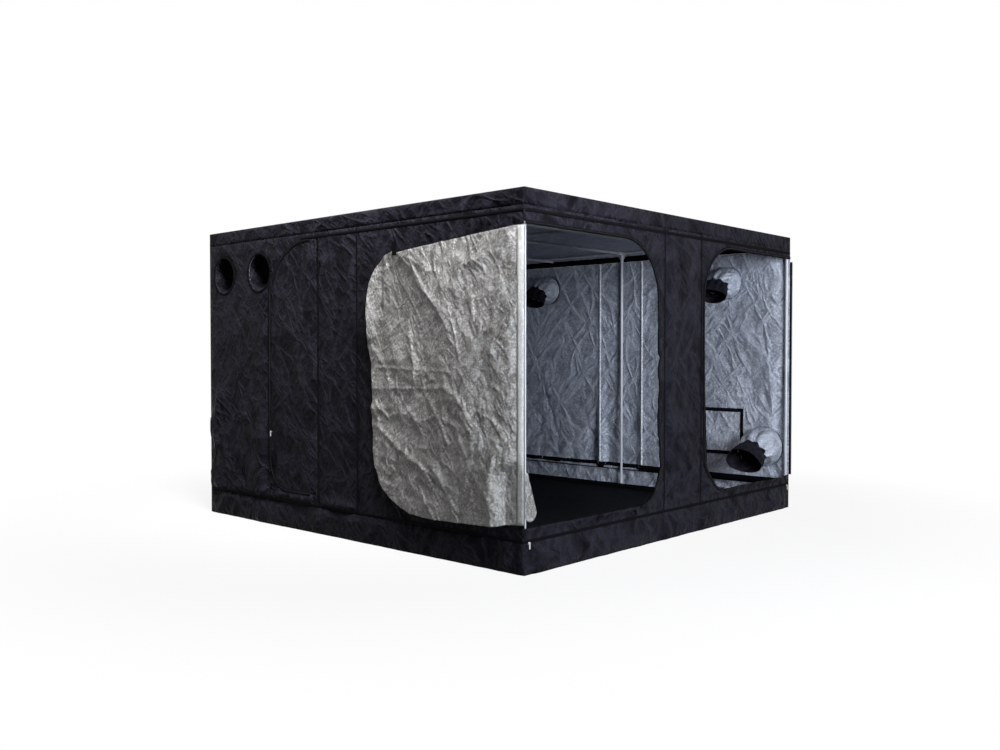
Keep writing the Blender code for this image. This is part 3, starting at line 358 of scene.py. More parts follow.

# %% [markdown]
# The lining is embossed with small diamonds, which make it sparkle. Two sets of slanting ribs
# cross to raise them, and a random number for each diamond picks the few that get a painted glint.

# %% The emboss
def emboss_group():
    """Small raised diamonds, and a mask of the few that get a painted glint."""
    tree, start, end = new_group("diamond emboss", {"Size": 0.01}, ["Height", "Glint"])
    across, along = scaled(tree, start.outputs["Place"], start.outputs["Size"])
    first = maths(tree, "PINGPONG", maths(tree, "ADD", across, along), 0.5)
    second = maths(tree, "PINGPONG", maths(tree, "SUBTRACT", across, along), 0.5)
    feed(tree, maths(tree, "MINIMUM", first, second), end.inputs["Height"])
    diamond = add_node(tree, "ShaderNodeCombineXYZ")
    feed(tree, maths(tree, "FLOOR", maths(tree, "ADD", across, along)), diamond.inputs["X"])
    feed(tree, maths(tree, "FLOOR", maths(tree, "SUBTRACT", across, along)), diamond.inputs["Y"])
    # This mask picks the diamonds whose colour gets a painted glint.
    chance = add_node(tree, "ShaderNodeTexWhiteNoise", noise_dimensions="2D")
    feed(tree, diamond.outputs[0], chance.inputs["Vector"])
    feed(tree, maths(tree, "POWER", chance.outputs["Value"], 2.5), end.inputs["Glint"])
    return tree


EMBOSS = emboss_group()
print("Pattern:", EMBOSS.name)

# %% [markdown]
# Nothing that is handled stays even: dust dulls it in patches and rubbing polishes it. A soft
# cloud between two values serves for both, whether it drives a colour or the roughness.

# %% The patches
def patches_group():
    """Soft patches between two values."""
    tree, start, end = new_group("patches", {"Size": 0.2, "Low": 0.0, "High": 1.0}, ["Value"])
    cloud = preset(add_node(tree, "ShaderNodeTexNoise"), Detail=6.0, Roughness=0.6)
    feed(tree, start.outputs["Place"], cloud.inputs["Vector"])
    feed(tree, maths(tree, "DIVIDE", 1.0, start.outputs["Size"]), cloud.inputs["Scale"])
    spread = preset(add_node(tree, "ShaderNodeMapRange"), From_Min=0.3, From_Max=0.7)
    feed(tree, cloud.outputs["Fac"], spread.inputs["Value"])
    feed(tree, start.outputs["Low"], spread.inputs["To Min"])
    feed(tree, start.outputs["High"], spread.inputs["To Max"])
    feed(tree, spread.outputs["Result"], end.inputs["Value"])
    return tree


PATCHES = patches_group()
print("Pattern:", PATCHES.name)

# %% [markdown]
# Every tape is sewn down with two rows of stitches. Its map runs along it and across from its
# middle, so a row is a fixed distance from the middle and a stitch is a share of each step.

# %% The stitches
def stitch_group():
    """Two rows of stitches along a tape."""
    tree, start, end = new_group("stitch rows", {"Row": 0.012, "Stitch": 0.005}, ["Mask"])
    split = add_node(tree, "ShaderNodeSeparateXYZ")
    feed(tree, start.outputs["Place"], split.inputs[0])
    off_row = maths(tree, "SUBTRACT", maths(tree, "ABSOLUTE", split.outputs["Y"]), start.outputs["Row"])
    on_row = maths(tree, "LESS_THAN", maths(tree, "ABSOLUTE", off_row), 0.0006)
    step = maths(tree, "DIVIDE", split.outputs["X"], start.outputs["Stitch"])
    in_stitch = maths(tree, "LESS_THAN", maths(tree, "FRACT", step), 0.72)
    feed(tree, maths(tree, "MULTIPLY", on_row, in_stitch), end.inputs["Mask"])
    return tree


STITCHES = stitch_group()
print("Pattern:", STITCHES.name)

# %% [markdown]
# Each finish is a Principled shader with its plain numbers on its own sockets. A small class
# keeps the calls short: it places a pattern, stacks bumps, and mixes two colours by a mask.

# %% A finish under construction
class Finish:
    """A material under construction."""

    def __init__(self, name, roughness, metallic=0.0, specular=0.5, coords="UV"):
        self.material = bpy.data.materials.new(name)
        self.material.use_nodes = True
        self.tree = self.material.node_tree
        self.shader = self.tree.nodes["Principled BSDF"]
        preset(self.shader, Roughness=roughness, Metallic=metallic, Specular_IOR_Level=specular)
        self.place = add_node(self.tree, "ShaderNodeTexCoord").outputs[coords]
        self.normal = None

    def pattern(self, group, output=0, **values):
        """Place a shared pattern and return one of its outputs."""
        made = preset(add_node(self.tree, "ShaderNodeGroup", node_tree=group), **values)
        feed(self.tree, self.place, made.inputs["Place"])
        return made.outputs[output]

    def bump(self, height, depth, strength=1.0):
        """Raise the surface by a height, in metres at 1, over the bumps so far."""
        made = preset(add_node(self.tree, "ShaderNodeBump"), Strength=strength, Distance=depth)
        feed(self.tree, height, made.inputs["Height"])
        if self.normal is not None:
            feed(self.tree, self.normal, made.inputs["Normal"])
        self.normal = made.outputs["Normal"]

    def colour(self, dark, light, mask):
        """Mix two colours by a mask."""
        mix = add_node(self.tree, "ShaderNodeMix", data_type="RGBA")
        feed(self.tree, mask, mix.inputs[0])
        mix.inputs[6].default_value = (*dark, 1.0)
        mix.inputs[7].default_value = (*light, 1.0)
        feed(self.tree, mix.outputs[2], self.shader.inputs["Base Color"])

    def roughness(self, value):
        """Let the roughness follow a value."""
        feed(self.tree, value, self.shader.inputs["Roughness"])

    def done(self):
        """Link the stacked bumps and hand the material over."""
        if self.normal is not None:
            feed(self.tree, self.normal, self.shader.inputs["Normal"])
        return self.material


print("Materials before the first finish:", len(bpy.data.materials))

# %% [markdown]
# The cover is coated oxford cloth. It is almost black and has hardly any gloss, but its creases
# still show: the crests of its folds are painted lighter, a painted highlight, each crumple facet
# gets a painted shade of its own, and the coating's roughness changes in patches.

# %% The black cloth
def black_cloth():
    """Coated oxford cloth: deep black, a faint sheen, painted lighter on fold crests, painted shade per
    facet.
    """
    finish = Finish("black_cloth", 0.5, specular=0.012)
    painted_shade_mask = finish.pattern(CRUMPLE, "Facet", Size=0.12)
    fold = finish.pattern(WRINKLE, Size=0.16)
    # Painted light: fold crests painted lighter as a painted highlight, and a painted shade per facet.
    painted_crest_and_facet_shade = maths(finish.tree, "MULTIPLY_ADD", fold, 0.55, maths(finish.tree, "MULTIPLY", painted_shade_mask, 0.55))
    finish.colour((0.0026, 0.0024, 0.0034), (0.0200, 0.0186, 0.0262), painted_crest_and_facet_shade)
    finish.roughness(finish.pattern(PATCHES, Size=0.06, Low=0.28, High=0.45))
    finish.bump(fold, 0.010)
    finish.bump(finish.pattern(CRUMPLE, Size=0.12), 0.018)
    finish.bump(finish.pattern(WRINKLE, Size=0.05), 0.0022)
    finish.bump(finish.pattern(WEAVE, Thread=0.0011), 0.0002, 0.35)
    return finish.done()


BLACK_CLOTH = black_cloth()
print("Finish:", BLACK_CLOTH.name)

# %% [markdown]
# The lining is a thin aluminised film on the cloth's inner side. A mirror finish would look
# black wherever it reflects the dark tent, while the real film scatters light, so it is made as
# a light, slightly metallic paint. Its colour carries painted light: a painted glint on a few
# diamonds, painted highlights on the crests of its wrinkles and a painted shade on each facet.
# The copy on the folded doors is warm, its dark tone a warm painted shade, and the copy inside is
# lighter and cool blue, painted for the cool light inside the tent. The piping, the hem and the
# seams' inner tapes are the same film, cut into strips; the hem and the seam tapes are painted
# lighter, as painted highlights, and the piping a darker grey, as painted shade.

# %% The silver lining
def silver_lining(name, dark, light, crumple, spacing=1.0):
    """Aluminised lining with a fine diamond emboss, painted glints, painted crest highlights and painted
    facet shade; spacing makes its creases wider apart.
    """
    finish = Finish(name, 0.38, metallic=0.12, specular=0.3)
    painted_shade_mask = finish.pattern(CRUMPLE, "Facet", Size=0.06)
    painted_glint = finish.pattern(EMBOSS, "Glint", Size=0.012)
    fold = finish.pattern(WRINKLE, Size=0.11 * spacing)
    # Painted light in the colour: a painted glint on a few diamonds, painted highlights on wrinkle
    # crests, and a painted shade per facet.
    painted_facet_shade = maths(finish.tree, "MULTIPLY", painted_shade_mask, 0.42)
    crest = maths(finish.tree, "MULTIPLY_ADD", fold, 0.34, painted_facet_shade)
    finish.colour(dark, light, maths(finish.tree, "MULTIPLY_ADD", painted_glint, 0.70, crest))
    finish.roughness(finish.pattern(PATCHES, Size=0.02, Low=0.28, High=0.46))
    finish.bump(finish.pattern(CRUMPLE, Size=0.07 * spacing), 0.5 * crumple * spacing)
    finish.bump(fold, 0.38 * crumple * spacing)
    finish.bump(finish.pattern(WRINKLE, Size=0.05 * spacing), 0.10 * crumple)
    finish.bump(finish.pattern(EMBOSS, Size=0.012), 0.004)
    return finish.done()


# These copies of one film differ by painted light: the door copy's warm dark tone is painted shade, the
# inside copy is lighter and cool for painted cool light, the hem and seam tapes are painted lighter as
# painted highlights, and the piping is a darker grey as painted shade.
SILVER_OUT = silver_lining("silver_lining", (0.070, 0.064, 0.054), (0.362, 0.352, 0.346), 0.020)
SILVER_IN = silver_lining("silver_lining_inside_painted_cool", (0.198, 0.208, 0.253), (0.58, 0.60, 0.69), 0.015, 1.9)
PIPING = silver_lining("lining_piping_painted_shade", (0.30, 0.30, 0.31), (0.42, 0.42, 0.44), 0.001)
HEM_TAPE = silver_lining("lining_hem_painted_light", (0.42, 0.415, 0.405), (0.62, 0.615, 0.605), 0.006)
SEAM_TAPE = silver_lining("lining_seam_tape_painted_highlight", (0.34, 0.35, 0.38), (0.90, 0.91, 0.95), 0.006)
print("Finishes:", [finish.name for finish in (SILVER_OUT, SILVER_IN, PIPING, HEM_TAPE, SEAM_TAPE)])

# %% [markdown]
# Tapes are woven ribbons whose stitches are painted a little lighter than the ribbon, a painted
# sheen. The wide webbing and the narrow binding differ only in where their rows run and how dark
# they are. A zip's coil is a row of fine ribs across its run, painted darker between the ribs as
# painted shade.

# %% Tapes and zips
def webbing(name, row, dark, light):
    """Black tape with a ribbed weave and two rows of stitches, painted lighter as a painted sheen."""
    finish = Finish(name, 0.75, specular=0.03)
    # The stitches are painted lighter than the ribbon: a painted sheen.
    finish.colour(dark, light, finish.pattern(STITCHES, Row=row))
    finish.bump(finish.pattern(WEAVE, Thread=0.0016), 0.0003, 0.6)
    finish.bump(finish.pattern(STITCHES, Row=row), 0.0005)
    return finish.done()


def zip_teeth():
    """The coil of a zip: fine ribs across its run, painted darker between them as painted shade."""
    finish = Finish("zip_teeth", 0.4, specular=0.12)
    split = add_node(finish.tree, "ShaderNodeSeparateXYZ")
    feed(finish.tree, finish.place, split.inputs[0])
    ribs = maths(finish.tree, "PINGPONG", maths(finish.tree, "DIVIDE", split.outputs["X"], 0.0016), 0.5)
    # The coil is painted darker in the grooves between its ribs: painted shade.
    finish.colour((0.003, 0.003, 0.0035), (0.011, 0.011, 0.012), ribs)
    finish.bump(ribs, 0.001)
    return finish.done()


WEBBING = webbing("black_webbing", 0.0105, (0.0032, 0.0032, 0.0042), (0.016, 0.016, 0.018))
BINDING = webbing("black_binding", 0.006, (0.0030, 0.0028, 0.0036), (0.009, 0.009, 0.011))
ZIP_TEETH = zip_teeth()
print("Finishes:", WEBBING.name, BINDING.name, ZIP_TEETH.name)

# %% [markdown]
# The loose mat on the floor is a heavier cloth with a matt coating that keeps water in.

# %% The mat's cloth
def mat_cloth():
    """Heavy matt coated cloth of the loose floor mat."""
    finish = Finish("mat_cloth", 0.6, specular=0.03)
    dust = finish.pattern(PATCHES, Size=0.3)
    finish.colour((0.0035, 0.0035, 0.0042), (0.0065, 0.0065, 0.0078), dust)
    finish.bump(finish.pattern(CRUMPLE, Size=0.16), 0.004)
    finish.bump(finish.pattern(WEAVE, Thread=0.0014), 0.0002, 0.4)
    return finish.done()


MAT_CLOTH = mat_cloth()
print("Finish:", MAT_CLOTH.name)

# %% [markdown]
# The hard parts are steel tubes with white powder coat, fittings of grey white plastic, and
# plated zip pulls. They have no map of their own, so their patterns read the place on the
# object, which stays with the part when it moves.

# %% Paint, plastic and plate
def pole_paint():
    """White powder coat with its fine orange peel, rubbed grey in places."""
    finish = Finish("pole_paint", 0.34, specular=0.5, coords="Object")
    finish.colour((0.46, 0.46, 0.50), (0.56, 0.56, 0.60), finish.pattern(PATCHES, Size=0.07))
    finish.roughness(finish.pattern(PATCHES, Size=0.03, Low=0.28, High=0.42))
    finish.bump(finish.pattern(CRUMPLE, Size=0.004), 0.0002, 0.5)
    return finish.done()


def fitting_plastic():
    """Grey white moulded plastic with a fine sand texture."""
    finish = Finish("fitting_plastic", 0.46, specular=0.45, coords="Object")
    finish.colour((0.5, 0.5, 0.53), (0.6, 0.6, 0.63), finish.pattern(PATCHES, Size=0.04))
    finish.bump(finish.pattern(CRUMPLE, Size=0.003), 0.0003, 0.6)
    return finish.done()


def plated_metal():
    """Nickel plate, brushed and lightly scratched."""
    finish = Finish("plated_metal", 0.3, metallic=1.0, coords="Object")
    finish.colour((0.5, 0.5, 0.52), (0.72, 0.72, 0.74), finish.pattern(PATCHES, Size=0.004))
    finish.roughness(finish.pattern(PATCHES, Size=0.002, Low=0.2, High=0.42))
    return finish.done()


POLE_PAINT = pole_paint()
FITTING_PLASTIC = fitting_plastic()
PLATED_METAL = plated_metal()
print("Finishes:", POLE_PAINT.name, FITTING_PLASTIC.name, PLATED_METAL.name)

# %% [markdown]
# The vent is covered with a net that keeps insects out. Wires modelled one by one would cost a
# hundred thousand faces, so the net is a flat sheet whose finish is open between its wires.

# %% The net
def open_net():
    """Black net: round wires with square holes between them."""
    finish = Finish("open_net", 0.7, specular=0.3)
    wires = []
    for line in scaled(finish.tree, finish.place, 0.0026):
        middle = maths(finish.tree, "PINGPONG", line, 0.5)
        wires.append(maths(finish.tree, "LESS_THAN", middle, 0.15))
    solid = maths(finish.tree, "MAXIMUM", *wires)
    feed(finish.tree, solid, finish.shader.inputs["Alpha"])
    finish.colour((0.006, 0.006, 0.007), (0.012, 0.012, 0.013), finish.pattern(PATCHES, Size=0.05))
    return finish.done()


OPEN_NET = open_net()
print("Finish:", OPEN_NET.name)

# %% [markdown]
# The poles, fittings and sliders are right as they were built. They could be modelled anew, but
# that would only lose their exact fit, so they keep their shape and take the better finish.

# %% Paint the hard parts
HARD_FINISHES = (
    (POLE_PAINT, ("corner_post", "mid_post", "base_rail", "top_rail", "ceiling_beam", "hanging")),
    (FITTING_PLASTIC, ("base_corner", "top_corner", "base_tee", "top_tee", "ceiling_hub")),
    (PLATED_METAL, ("zip_slider",)),
)
for finish, beginnings in HARD_FINISHES:
    painted = [node for name, node in NODES.items() if name.startswith(beginnings)]
    for node in painted:
        for place in node.material_slots:
            place.material = finish
    print(finish.name, "on", len(painted), "parts")

# %% [markdown]
# Crumpled cloth has two kinds of relief: wide soft swells, and facets that meet in sharp
# edges. Both are drawn from one table of random numbers, so that every run gives the same
# cloth. A swell blends the numbers smoothly. The facets are bowls round scattered points, and
# where two bowls meet there is a crease.

# %% Random relief
TABLE = np.random.default_rng(19).random((3, 64, 64))


def drawn(column, row, seed, layer):
    """Look one random number up for every cell."""
    return TABLE[layer, (column + 7 * seed) % 64, (row + 13 * seed) % 64]


def eased(value):
    """Go from 0 to 1 without a kink."""
    value = np.clip(value, 0, 1)
    return value * value * (3 - 2 * value)


def swell(across, up, cell, seed):
    """Soft hills and hollows between -1 and 1."""
    x, y = np.asarray(across) / cell, np.asarray(up) / cell
    column, row = np.floor(x).astype(int), np.floor(y).astype(int)
    share_x, share_y = eased(x - column), eased(y - row)

    def blended(line):
        """Blend the two nearest numbers of one row."""
        return drawn(column, line, seed, 0) * (1 - share_x) + drawn(column + 1, line, seed, 0) * share_x

    return 2 * (blended(row) * (1 - share_y) + blended(row + 1) * share_y) - 1


def facets(across, up, cell, seed):
    """Bowls between sharp creases, about 0 in a bowl and up to 1 on a crease."""
    bent_x = (across + 0.35 * cell * swell(across, up, 1.3 * cell, seed + 3)) / cell
    bent_y = (up + 0.35 * cell * swell(across, up, 1.3 * cell, seed + 4)) / cell
    column, row = np.floor(bent_x).astype(int), np.floor(bent_y).astype(int)
    nearest = np.full(np.shape(bent_x), 9.0)
    for side_x in (-1, 0, 1):
        for side_y in (-1, 0, 1):
            there_x, there_y = column + side_x, row + side_y
            away_x = bent_x - there_x - drawn(there_x, there_y, seed, 0)
            away_y = bent_y - there_y - drawn(there_x, there_y, seed, 1)
            raised = 0.5 * drawn(there_x, there_y, seed, 2)
            nearest = np.minimum(nearest, away_x ** 2 + away_y ** 2 + raised)
    return nearest


print("A facet reaches", round(float(facets(np.linspace(0, 1, 99), np.zeros(99), 0.1, 1).max()), 2))

# %% [markdown]
# Some creases have a fixed place, such as the lines where the cloth was folded in its box, and
# others fall anywhere. Both are ridges along a path. A real fold is steep on one side and
# gentle on the other, and a ridge shows best when its steep side faces the light.

# %% Creases
def crease(across, up, path, height, soft, lit=(-0.5, 0.85)):
    """Raise a sharp ridge along a path, steep on the side that the light comes from."""
    lift = np.zeros(np.shape(across))
    for start, end in zip(path, path[1:]):
        run_x, run_y = end[0] - start[0], end[1] - start[1]
        length = math.hypot(run_x, run_y)
        away_x, away_y = across - start[0], up - start[1]
        share = np.clip((away_x * run_x + away_y * run_y) / length ** 2, 0, 1)
        gap = np.hypot(away_x - share * run_x, away_y - share * run_y)
        facing = 1 if run_y * lit[0] - run_x * lit[1] > 0 else -1
        side = (away_x * run_y - away_y * run_x) * facing > 0
        width = np.where(side, soft, 2.6 * soft)
        lift = np.maximum(lift, np.exp(-gap / width))
    return height * lift


def random_creases(across, up, seed, count, low, high, lengths, slope, height, lit=(-0.5, 0.85)):
    """Scatter straight creases over a rectangle, most of them near one slope in degrees."""
    draw = np.random.default_rng(seed)
    lift = np.zeros(np.shape(across))
    for _ in range(count):
        start = draw.uniform(low, high)
        angle = math.radians(draw.normal(slope, 28))
        length = draw.uniform(*lengths)
        bend = math.radians(draw.normal(0, 22))
        middle = (start[0] + 0.5 * length * math.cos(angle), start[1] + 0.5 * length * math.sin(angle))
        end = (middle[0] + 0.5 * length * math.cos(angle + bend),
               middle[1] + 0.5 * length * math.sin(angle + bend))
        rise = height * draw.uniform(0.35, 1.0) * draw.choice((-0.4, 1.0, 1.0))
        lift += crease(across, up, (start, middle, end), rise, draw.uniform(0.005, 0.014), lit)
    return lift


sample = crease(np.zeros(1), np.zeros(1), ((0, 0), (1, 0)), 1.0, 0.01)
print("A crease of 1 reaches", float(sample[0]))

# %% [markdown]
# All the upright faces share one description: an origin, a direction across, and a direction
# outwards, going round the tent so that the cloth always faces out. A flat piece of cloth is
# drawn in across, up and off, and laid on its face, where the face's own relief lifts it.
# Tapes and zips that are laid on the same face follow every crease by themselves.

# %% The four faces of the tent
CALM_BLEND = 0.05


class Face:
    """An upright face, its relief, and the way to lay flat cloth on it."""

    def __init__(self, origin, across, outward, seed):
        self.origin = np.array(origin, float)
        self.across = np.array(across, float)
        self.outward = np.array(outward, float)
        self.seed = seed
        self.folds = []
        self.calm = []
        self.dip = np.zeros_like
        self.onset = 0.7
        self.heft = 1.0
        self.lit = (0.5 * (self.across[0] + self.across[1]) * -1, 0.85)

    def relief(self, across, up):
        """How far the cloth stands out from the flat face."""
        low = self.heft * eased((1.12 - up) / self.onset)
        lift = 0.006 * swell(across, up, 0.7, self.seed) + 0.004
        lift += (0.0030 + 0.040 * low) * facets(across, up, 0.30, self.seed + 1)
        lift += (0.0014 + 0.020 * low) * facets(across, up, 0.12, self.seed + 2)
        lift += (0.0005 + 0.005 * low) * facets(across, up, 0.05, self.seed + 5)
        lift += random_creases(across, up, self.seed, 70, (0, 0.15), (SPAN, 1.05), (0.12, 0.5), -50,
                               0.022 * self.heft, self.lit)
        lift += random_creases(across, up, self.seed + 9, 26, (0, 0.9), (SPAN, 1.9), (0.15, 0.6), -78,
                               0.005, self.lit)
        for path, height, soft in self.folds:
            lift += crease(across, up, path, height, soft, self.lit)
        lift = np.maximum(lift, -0.0015) + self.dip(across)
        for left, bottom, right, top, most in self.calm:
            beside = np.maximum(left - across, across - right)
            share = eased(np.maximum(beside, np.maximum(bottom - up, up - top)) / CALM_BLEND)
            lift = share * lift + (1 - share) * np.minimum(lift, most)
        edge = np.minimum(np.minimum(across, SPAN - across), np.minimum(up - WALL_LOW, WALL_HIGH - up))
        return lift * eased(edge / CALM_BLEND)

    def place(self, across, up, off):
        """Turn across, up and off into a place in the tent."""
        return (self.origin + np.outer(across, self.across) + np.outer(up, (0, 0, 1))
                + np.outer(off, self.outward))

    def lay(self, across, up, off):
        """Give the place of flat cloth once it lies on this face."""
        return self.place(across, up, self.relief(across, up) + off)


FRONT = Face((-HALF, -HALF, 0), (1, 0, 0), (0, -1, 0), 2)
RIGHT = Face((HALF, -HALF, 0), (0, 1, 0), (1, 0, 0), 6)
BACK = Face((HALF, HALF, 0), (-1, 0, 0), (0, 1, 0), 12)
LEFT = Face((-HALF, HALF, 0), (0, -1, 0), (-1, 0, 0), 16)
FACES = {"front": FRONT, "right": RIGHT, "back": BACK, "left": LEFT}
print("Faces:", list(FACES))

# %% [markdown]
# A few places on the faces are calm, and some creases are always there. Cloth is pulled flat
# where it is sewn, behind the folded door and along a zip. The line where the access door turns
# is kept quite flat, so that the cloth on both sides of it clears the other when it opens. For
# the same reason the seam beside that line is moved away from it a little.

# %% Calm places and fixed folds
ACCESS_SEAM_SHIFT = 0.022
HINGE_CALM = 0.012
SEAM_CALM = 0.014
OUTER_SEAM = 1.34
BEHIND_LEAF = 1.33
PACKING_LINE = 1.06


def left_across(from_front):
    """Turn a distance from the front into the left face's own across."""
    return SPAN - from_front


def calm_left(far, low, near, high, most):
    """Keep a rectangle of the left face calm; far and near are distances from the front."""
    LEFT.calm.append((left_across(far), low, left_across(near), high, most))


def fold_left(points, height, soft):
    """Add a fold to the left face, its points given by distance from the front and height."""
    LEFT.folds.append(([(left_across(distance), up) for distance, up in points], height, soft))


SEAMS = dict.fromkeys(FACES, PANEL_SEAMS)
SEAMS["left"] = (left_across(ACCESS_HINGE - ACCESS_SEAM_SHIFT), left_across(OUTER_SEAM))
calm_left(2.27, 0.25, BEHIND_LEAF, 1.86, 0.006)
calm_left(ACCESS_HINGE + HINGE_CALM, WALL_LOW, ACCESS_HINGE - HINGE_CALM, WALL_HIGH, 0.0)
for side, face in FACES.items():
    most = 0.001 if face is LEFT else 0.003
    for across in SEAMS[side]:
        face.calm.append((across - SEAM_CALM, WALL_LOW, across + SEAM_CALM, WALL_HIGH, most))
calm_left(2.268, 0.24, 2.222, 1.5, 0.0008)
calm_left(BEHIND_LEAF, 0.2, 0, 1.9, 0.004)
FRONT.calm.append((0, WALL_LOW, SPAN, 0.20, 0.0004))
RIGHT.calm.append((0, 0.2, 1.3, 1.9, 0.006))
FRONT.onset = 0.4
FRONT.heft, LEFT.heft, RIGHT.heft, BACK.heft = 0.55, 0.85, 0.7, 0.6

fold_left(((2.98, 1.063), (2.2, 1.068)), 0.006, 0.012)
fold_left(((2.23, 1.59), (1.99, 1.69), (1.76, 1.81)), 0.004, 0.01)
for height, rise in ((0.987, 0.009), (1.12, 0.003)):
    FRONT.folds.append((((1.0, height), (2.0, height)), rise, 0.006))
for face in (RIGHT, BACK):
    face.folds.append((((0.05, PACKING_LINE), (SPAN - 0.05, PACKING_LINE)), 0.003, 0.008))


def slack_corner(across):
    """The lining sags inwards beside the front corner and so turns to the light."""
    return np.interp(across, (0.035, 0.13, 0.20, 0.60), (0.0, -0.026, -0.024, 0.0))


RIGHT.dip = slack_corner
print("Calm places:", {name: len(face.calm) for name, face in FACES.items()})

# %% [markdown]
# Cloth could be simulated, but the folds in the picture have fixed places and the walls are
# stretched over a frame, so their relief is written as sums instead. A stretch of cloth starts
# as a grid primitive, whose points are read into an array, moved all at once and written back.

# %% Grids and their points
CLOTH_THICKNESS = 0.0012


def deselect_all():
    """Leave nothing selected, because operators act on all that is."""
    for item in list(bpy.context.selected_objects):
        item.select_set(False)


def select_only(piece):
    """Select one piece and make it the active one."""
    deselect_all()
    bpy.context.view_layer.objects.active = piece
    piece.select_set(True)


def read_points(piece):
    """Copy a mesh's points into an array."""
    points = np.empty(len(piece.data.vertices) * 3)
    piece.data.vertices.foreach_get("co", points)
    return points.reshape(-1, 3)


def write_points(piece, points):
    """Move a mesh's points to the places in an array."""
    piece.data.vertices.foreach_set("co", np.ascontiguousarray(points, float).ravel())
    piece.data.update()


def face_middles(piece):
    """Copy the middles of a mesh's faces into an array."""
    middles = np.empty(len(piece.data.polygons) * 3)
    piece.data.polygons.foreach_get("center", middles)
    return middles.reshape(-1, 3)


def new_grid(name, columns, rows):
    """Add a unit grid round zero."""
    deselect_all()
    bpy.ops.mesh.primitive_grid_add(x_subdivisions=columns, y_subdivisions=rows, size=1)
    piece = bpy.context.object
    piece.name = name
    return piece


def flat_grid(name, width, height, cell):
    """Add a grid of about square cells with its corner at zero, in metres."""
    piece = new_grid(name, max(1, round(width / cell)), max(1, round(height / cell)))
    points = (read_points(piece) + (0.5, 0.5, 0)) * (width, height, 1)
    write_points(piece, points)
    return piece


def write_map(piece, flat):
    """Map every corner of the mesh to its place in the flat cloth."""
    loops = np.empty(len(piece.data.loops), int)
    piece.data.loops.foreach_get("vertex_index", loops)
    piece.data.uv_layers.active.data.foreach_set("uv", np.ascontiguousarray(flat[loops, :2]).ravel())


def map_flat(piece):
    """Map cloth while it lies flat, and give its points."""
    flat = read_points(piece)
    write_map(piece, flat)
    return flat


print("Cloth is", CLOTH_THICKNESS * 1000, "mm thick")

# %% [markdown]
# Openings could be cut with a Boolean, which leaves long thin faces that crease badly. Here the
# grid points nearest to an outline are moved on to it and the faces inside are deleted, so the
# edge is smooth and every other face stays about square.

# %% Cutting
NEAR_SHARE = 0.5
RIM_SHARE = 0.75


def nearest_on(outline, flat):
    """Find the nearest point of a closed outline, and how far it is."""
    best = np.full(len(flat), 99.0)
    spot = np.zeros((len(flat), 2))
    for start, end in zip(outline, np.roll(outline, -1, axis=0)):
        run = end - start
        share = np.clip(((flat - start) @ run) / max(run @ run, 1e-12), 0, 1)
        there = start + share[:, None] * run
        gap = np.hypot(*(flat - there).T)
        closer = gap < best
        best[closer] = gap[closer]
        spot[closer] = there[closer]
    return spot, best


def inside(outline, flat):
    """Tell which points lie inside a closed outline."""
    odd = np.zeros(len(flat), bool)
    for start, end in zip(outline, np.roll(outline, -1, axis=0)):
        crosses = (start[1] > flat[:, 1]) != (end[1] > flat[:, 1])
        rise = end[1] - start[1] if end[1] != start[1] else 1e-9
        reach = start[0] + (flat[:, 1] - start[1]) / rise * (end[0] - start[0])
        odd ^= crosses & (flat[:, 0] < reach)
    return odd


def delete_faces(piece, doomed):
    """Delete the marked faces in edit mode."""
    select_only(piece)
    mesh = piece.data
    mesh.vertices.foreach_set("select", np.zeros(len(mesh.vertices), bool))
    mesh.edges.foreach_set("select", np.zeros(len(mesh.edges), bool))
    mesh.polygons.foreach_set("select", doomed)
    bpy.context.tool_settings.mesh_select_mode = (False, False, True)
    bpy.ops.object.mode_set(mode="EDIT")
    bpy.ops.mesh.delete(type="FACE")
    bpy.ops.object.mode_set(mode="OBJECT")


def cut(piece, outline, cell, keep_inside=False):
    """Cut an opening, or keep only what is inside the outline."""
    outline = np.array(outline, float)
    points = read_points(piece)
    spot, gap = nearest_on(outline, points[:, :2])
    near = gap < NEAR_SHARE * cell
    points[near, :2] = spot[near]
    write_points(piece, points)
    held = inside(outline, face_middles(piece)[:, :2])
    delete_faces(piece, ~held if keep_inside else held)
    points = read_points(piece)
    spot, gap = nearest_on(outline, points[:, :2])
    rim = (gap < RIM_SHARE * cell) & open_points(piece)
    points[rim, :2] = spot[rim]
    write_points(piece, points)


def open_points(piece):
    """Tell which points lie on an open edge of the mesh."""
    mesh = piece.data
    edges = np.empty(len(mesh.edges) * 2, int)
    mesh.edges.foreach_get("vertices", edges)
    used = np.zeros(len(mesh.edges), int)
    loop_edges = np.empty(len(mesh.loops), int)
    mesh.loops.foreach_get("edge_index", loop_edges)
    np.add.at(used, loop_edges, 1)
    found = np.zeros(len(mesh.vertices), bool)
    found[edges.reshape(-1, 2)[used == 1].ravel()] = True
    return found


print("A point moves to an outline from", NEAR_SHARE, "of a cell, at the rim from", RIM_SHARE)

# %% [markdown]
# Solidify gives the cloth its thickness, with one finish outside and another inside. Edges that
# were folded or rolled together are merged first, so the cloth is one skin.

# %% Finishing a piece of cloth
def merge_points(piece, reach, face_outwards=False):
    """Merge points closer than a reach, and turn a closed tube's faces outwards."""
    select_only(piece)
    bpy.ops.object.mode_set(mode="EDIT")
    bpy.ops.mesh.select_all(action="SELECT")
    bpy.ops.mesh.remove_doubles(threshold=reach)
    if face_outwards:
        bpy.ops.mesh.normals_make_consistent(inside=False)
    bpy.ops.object.mode_set(mode="OBJECT")


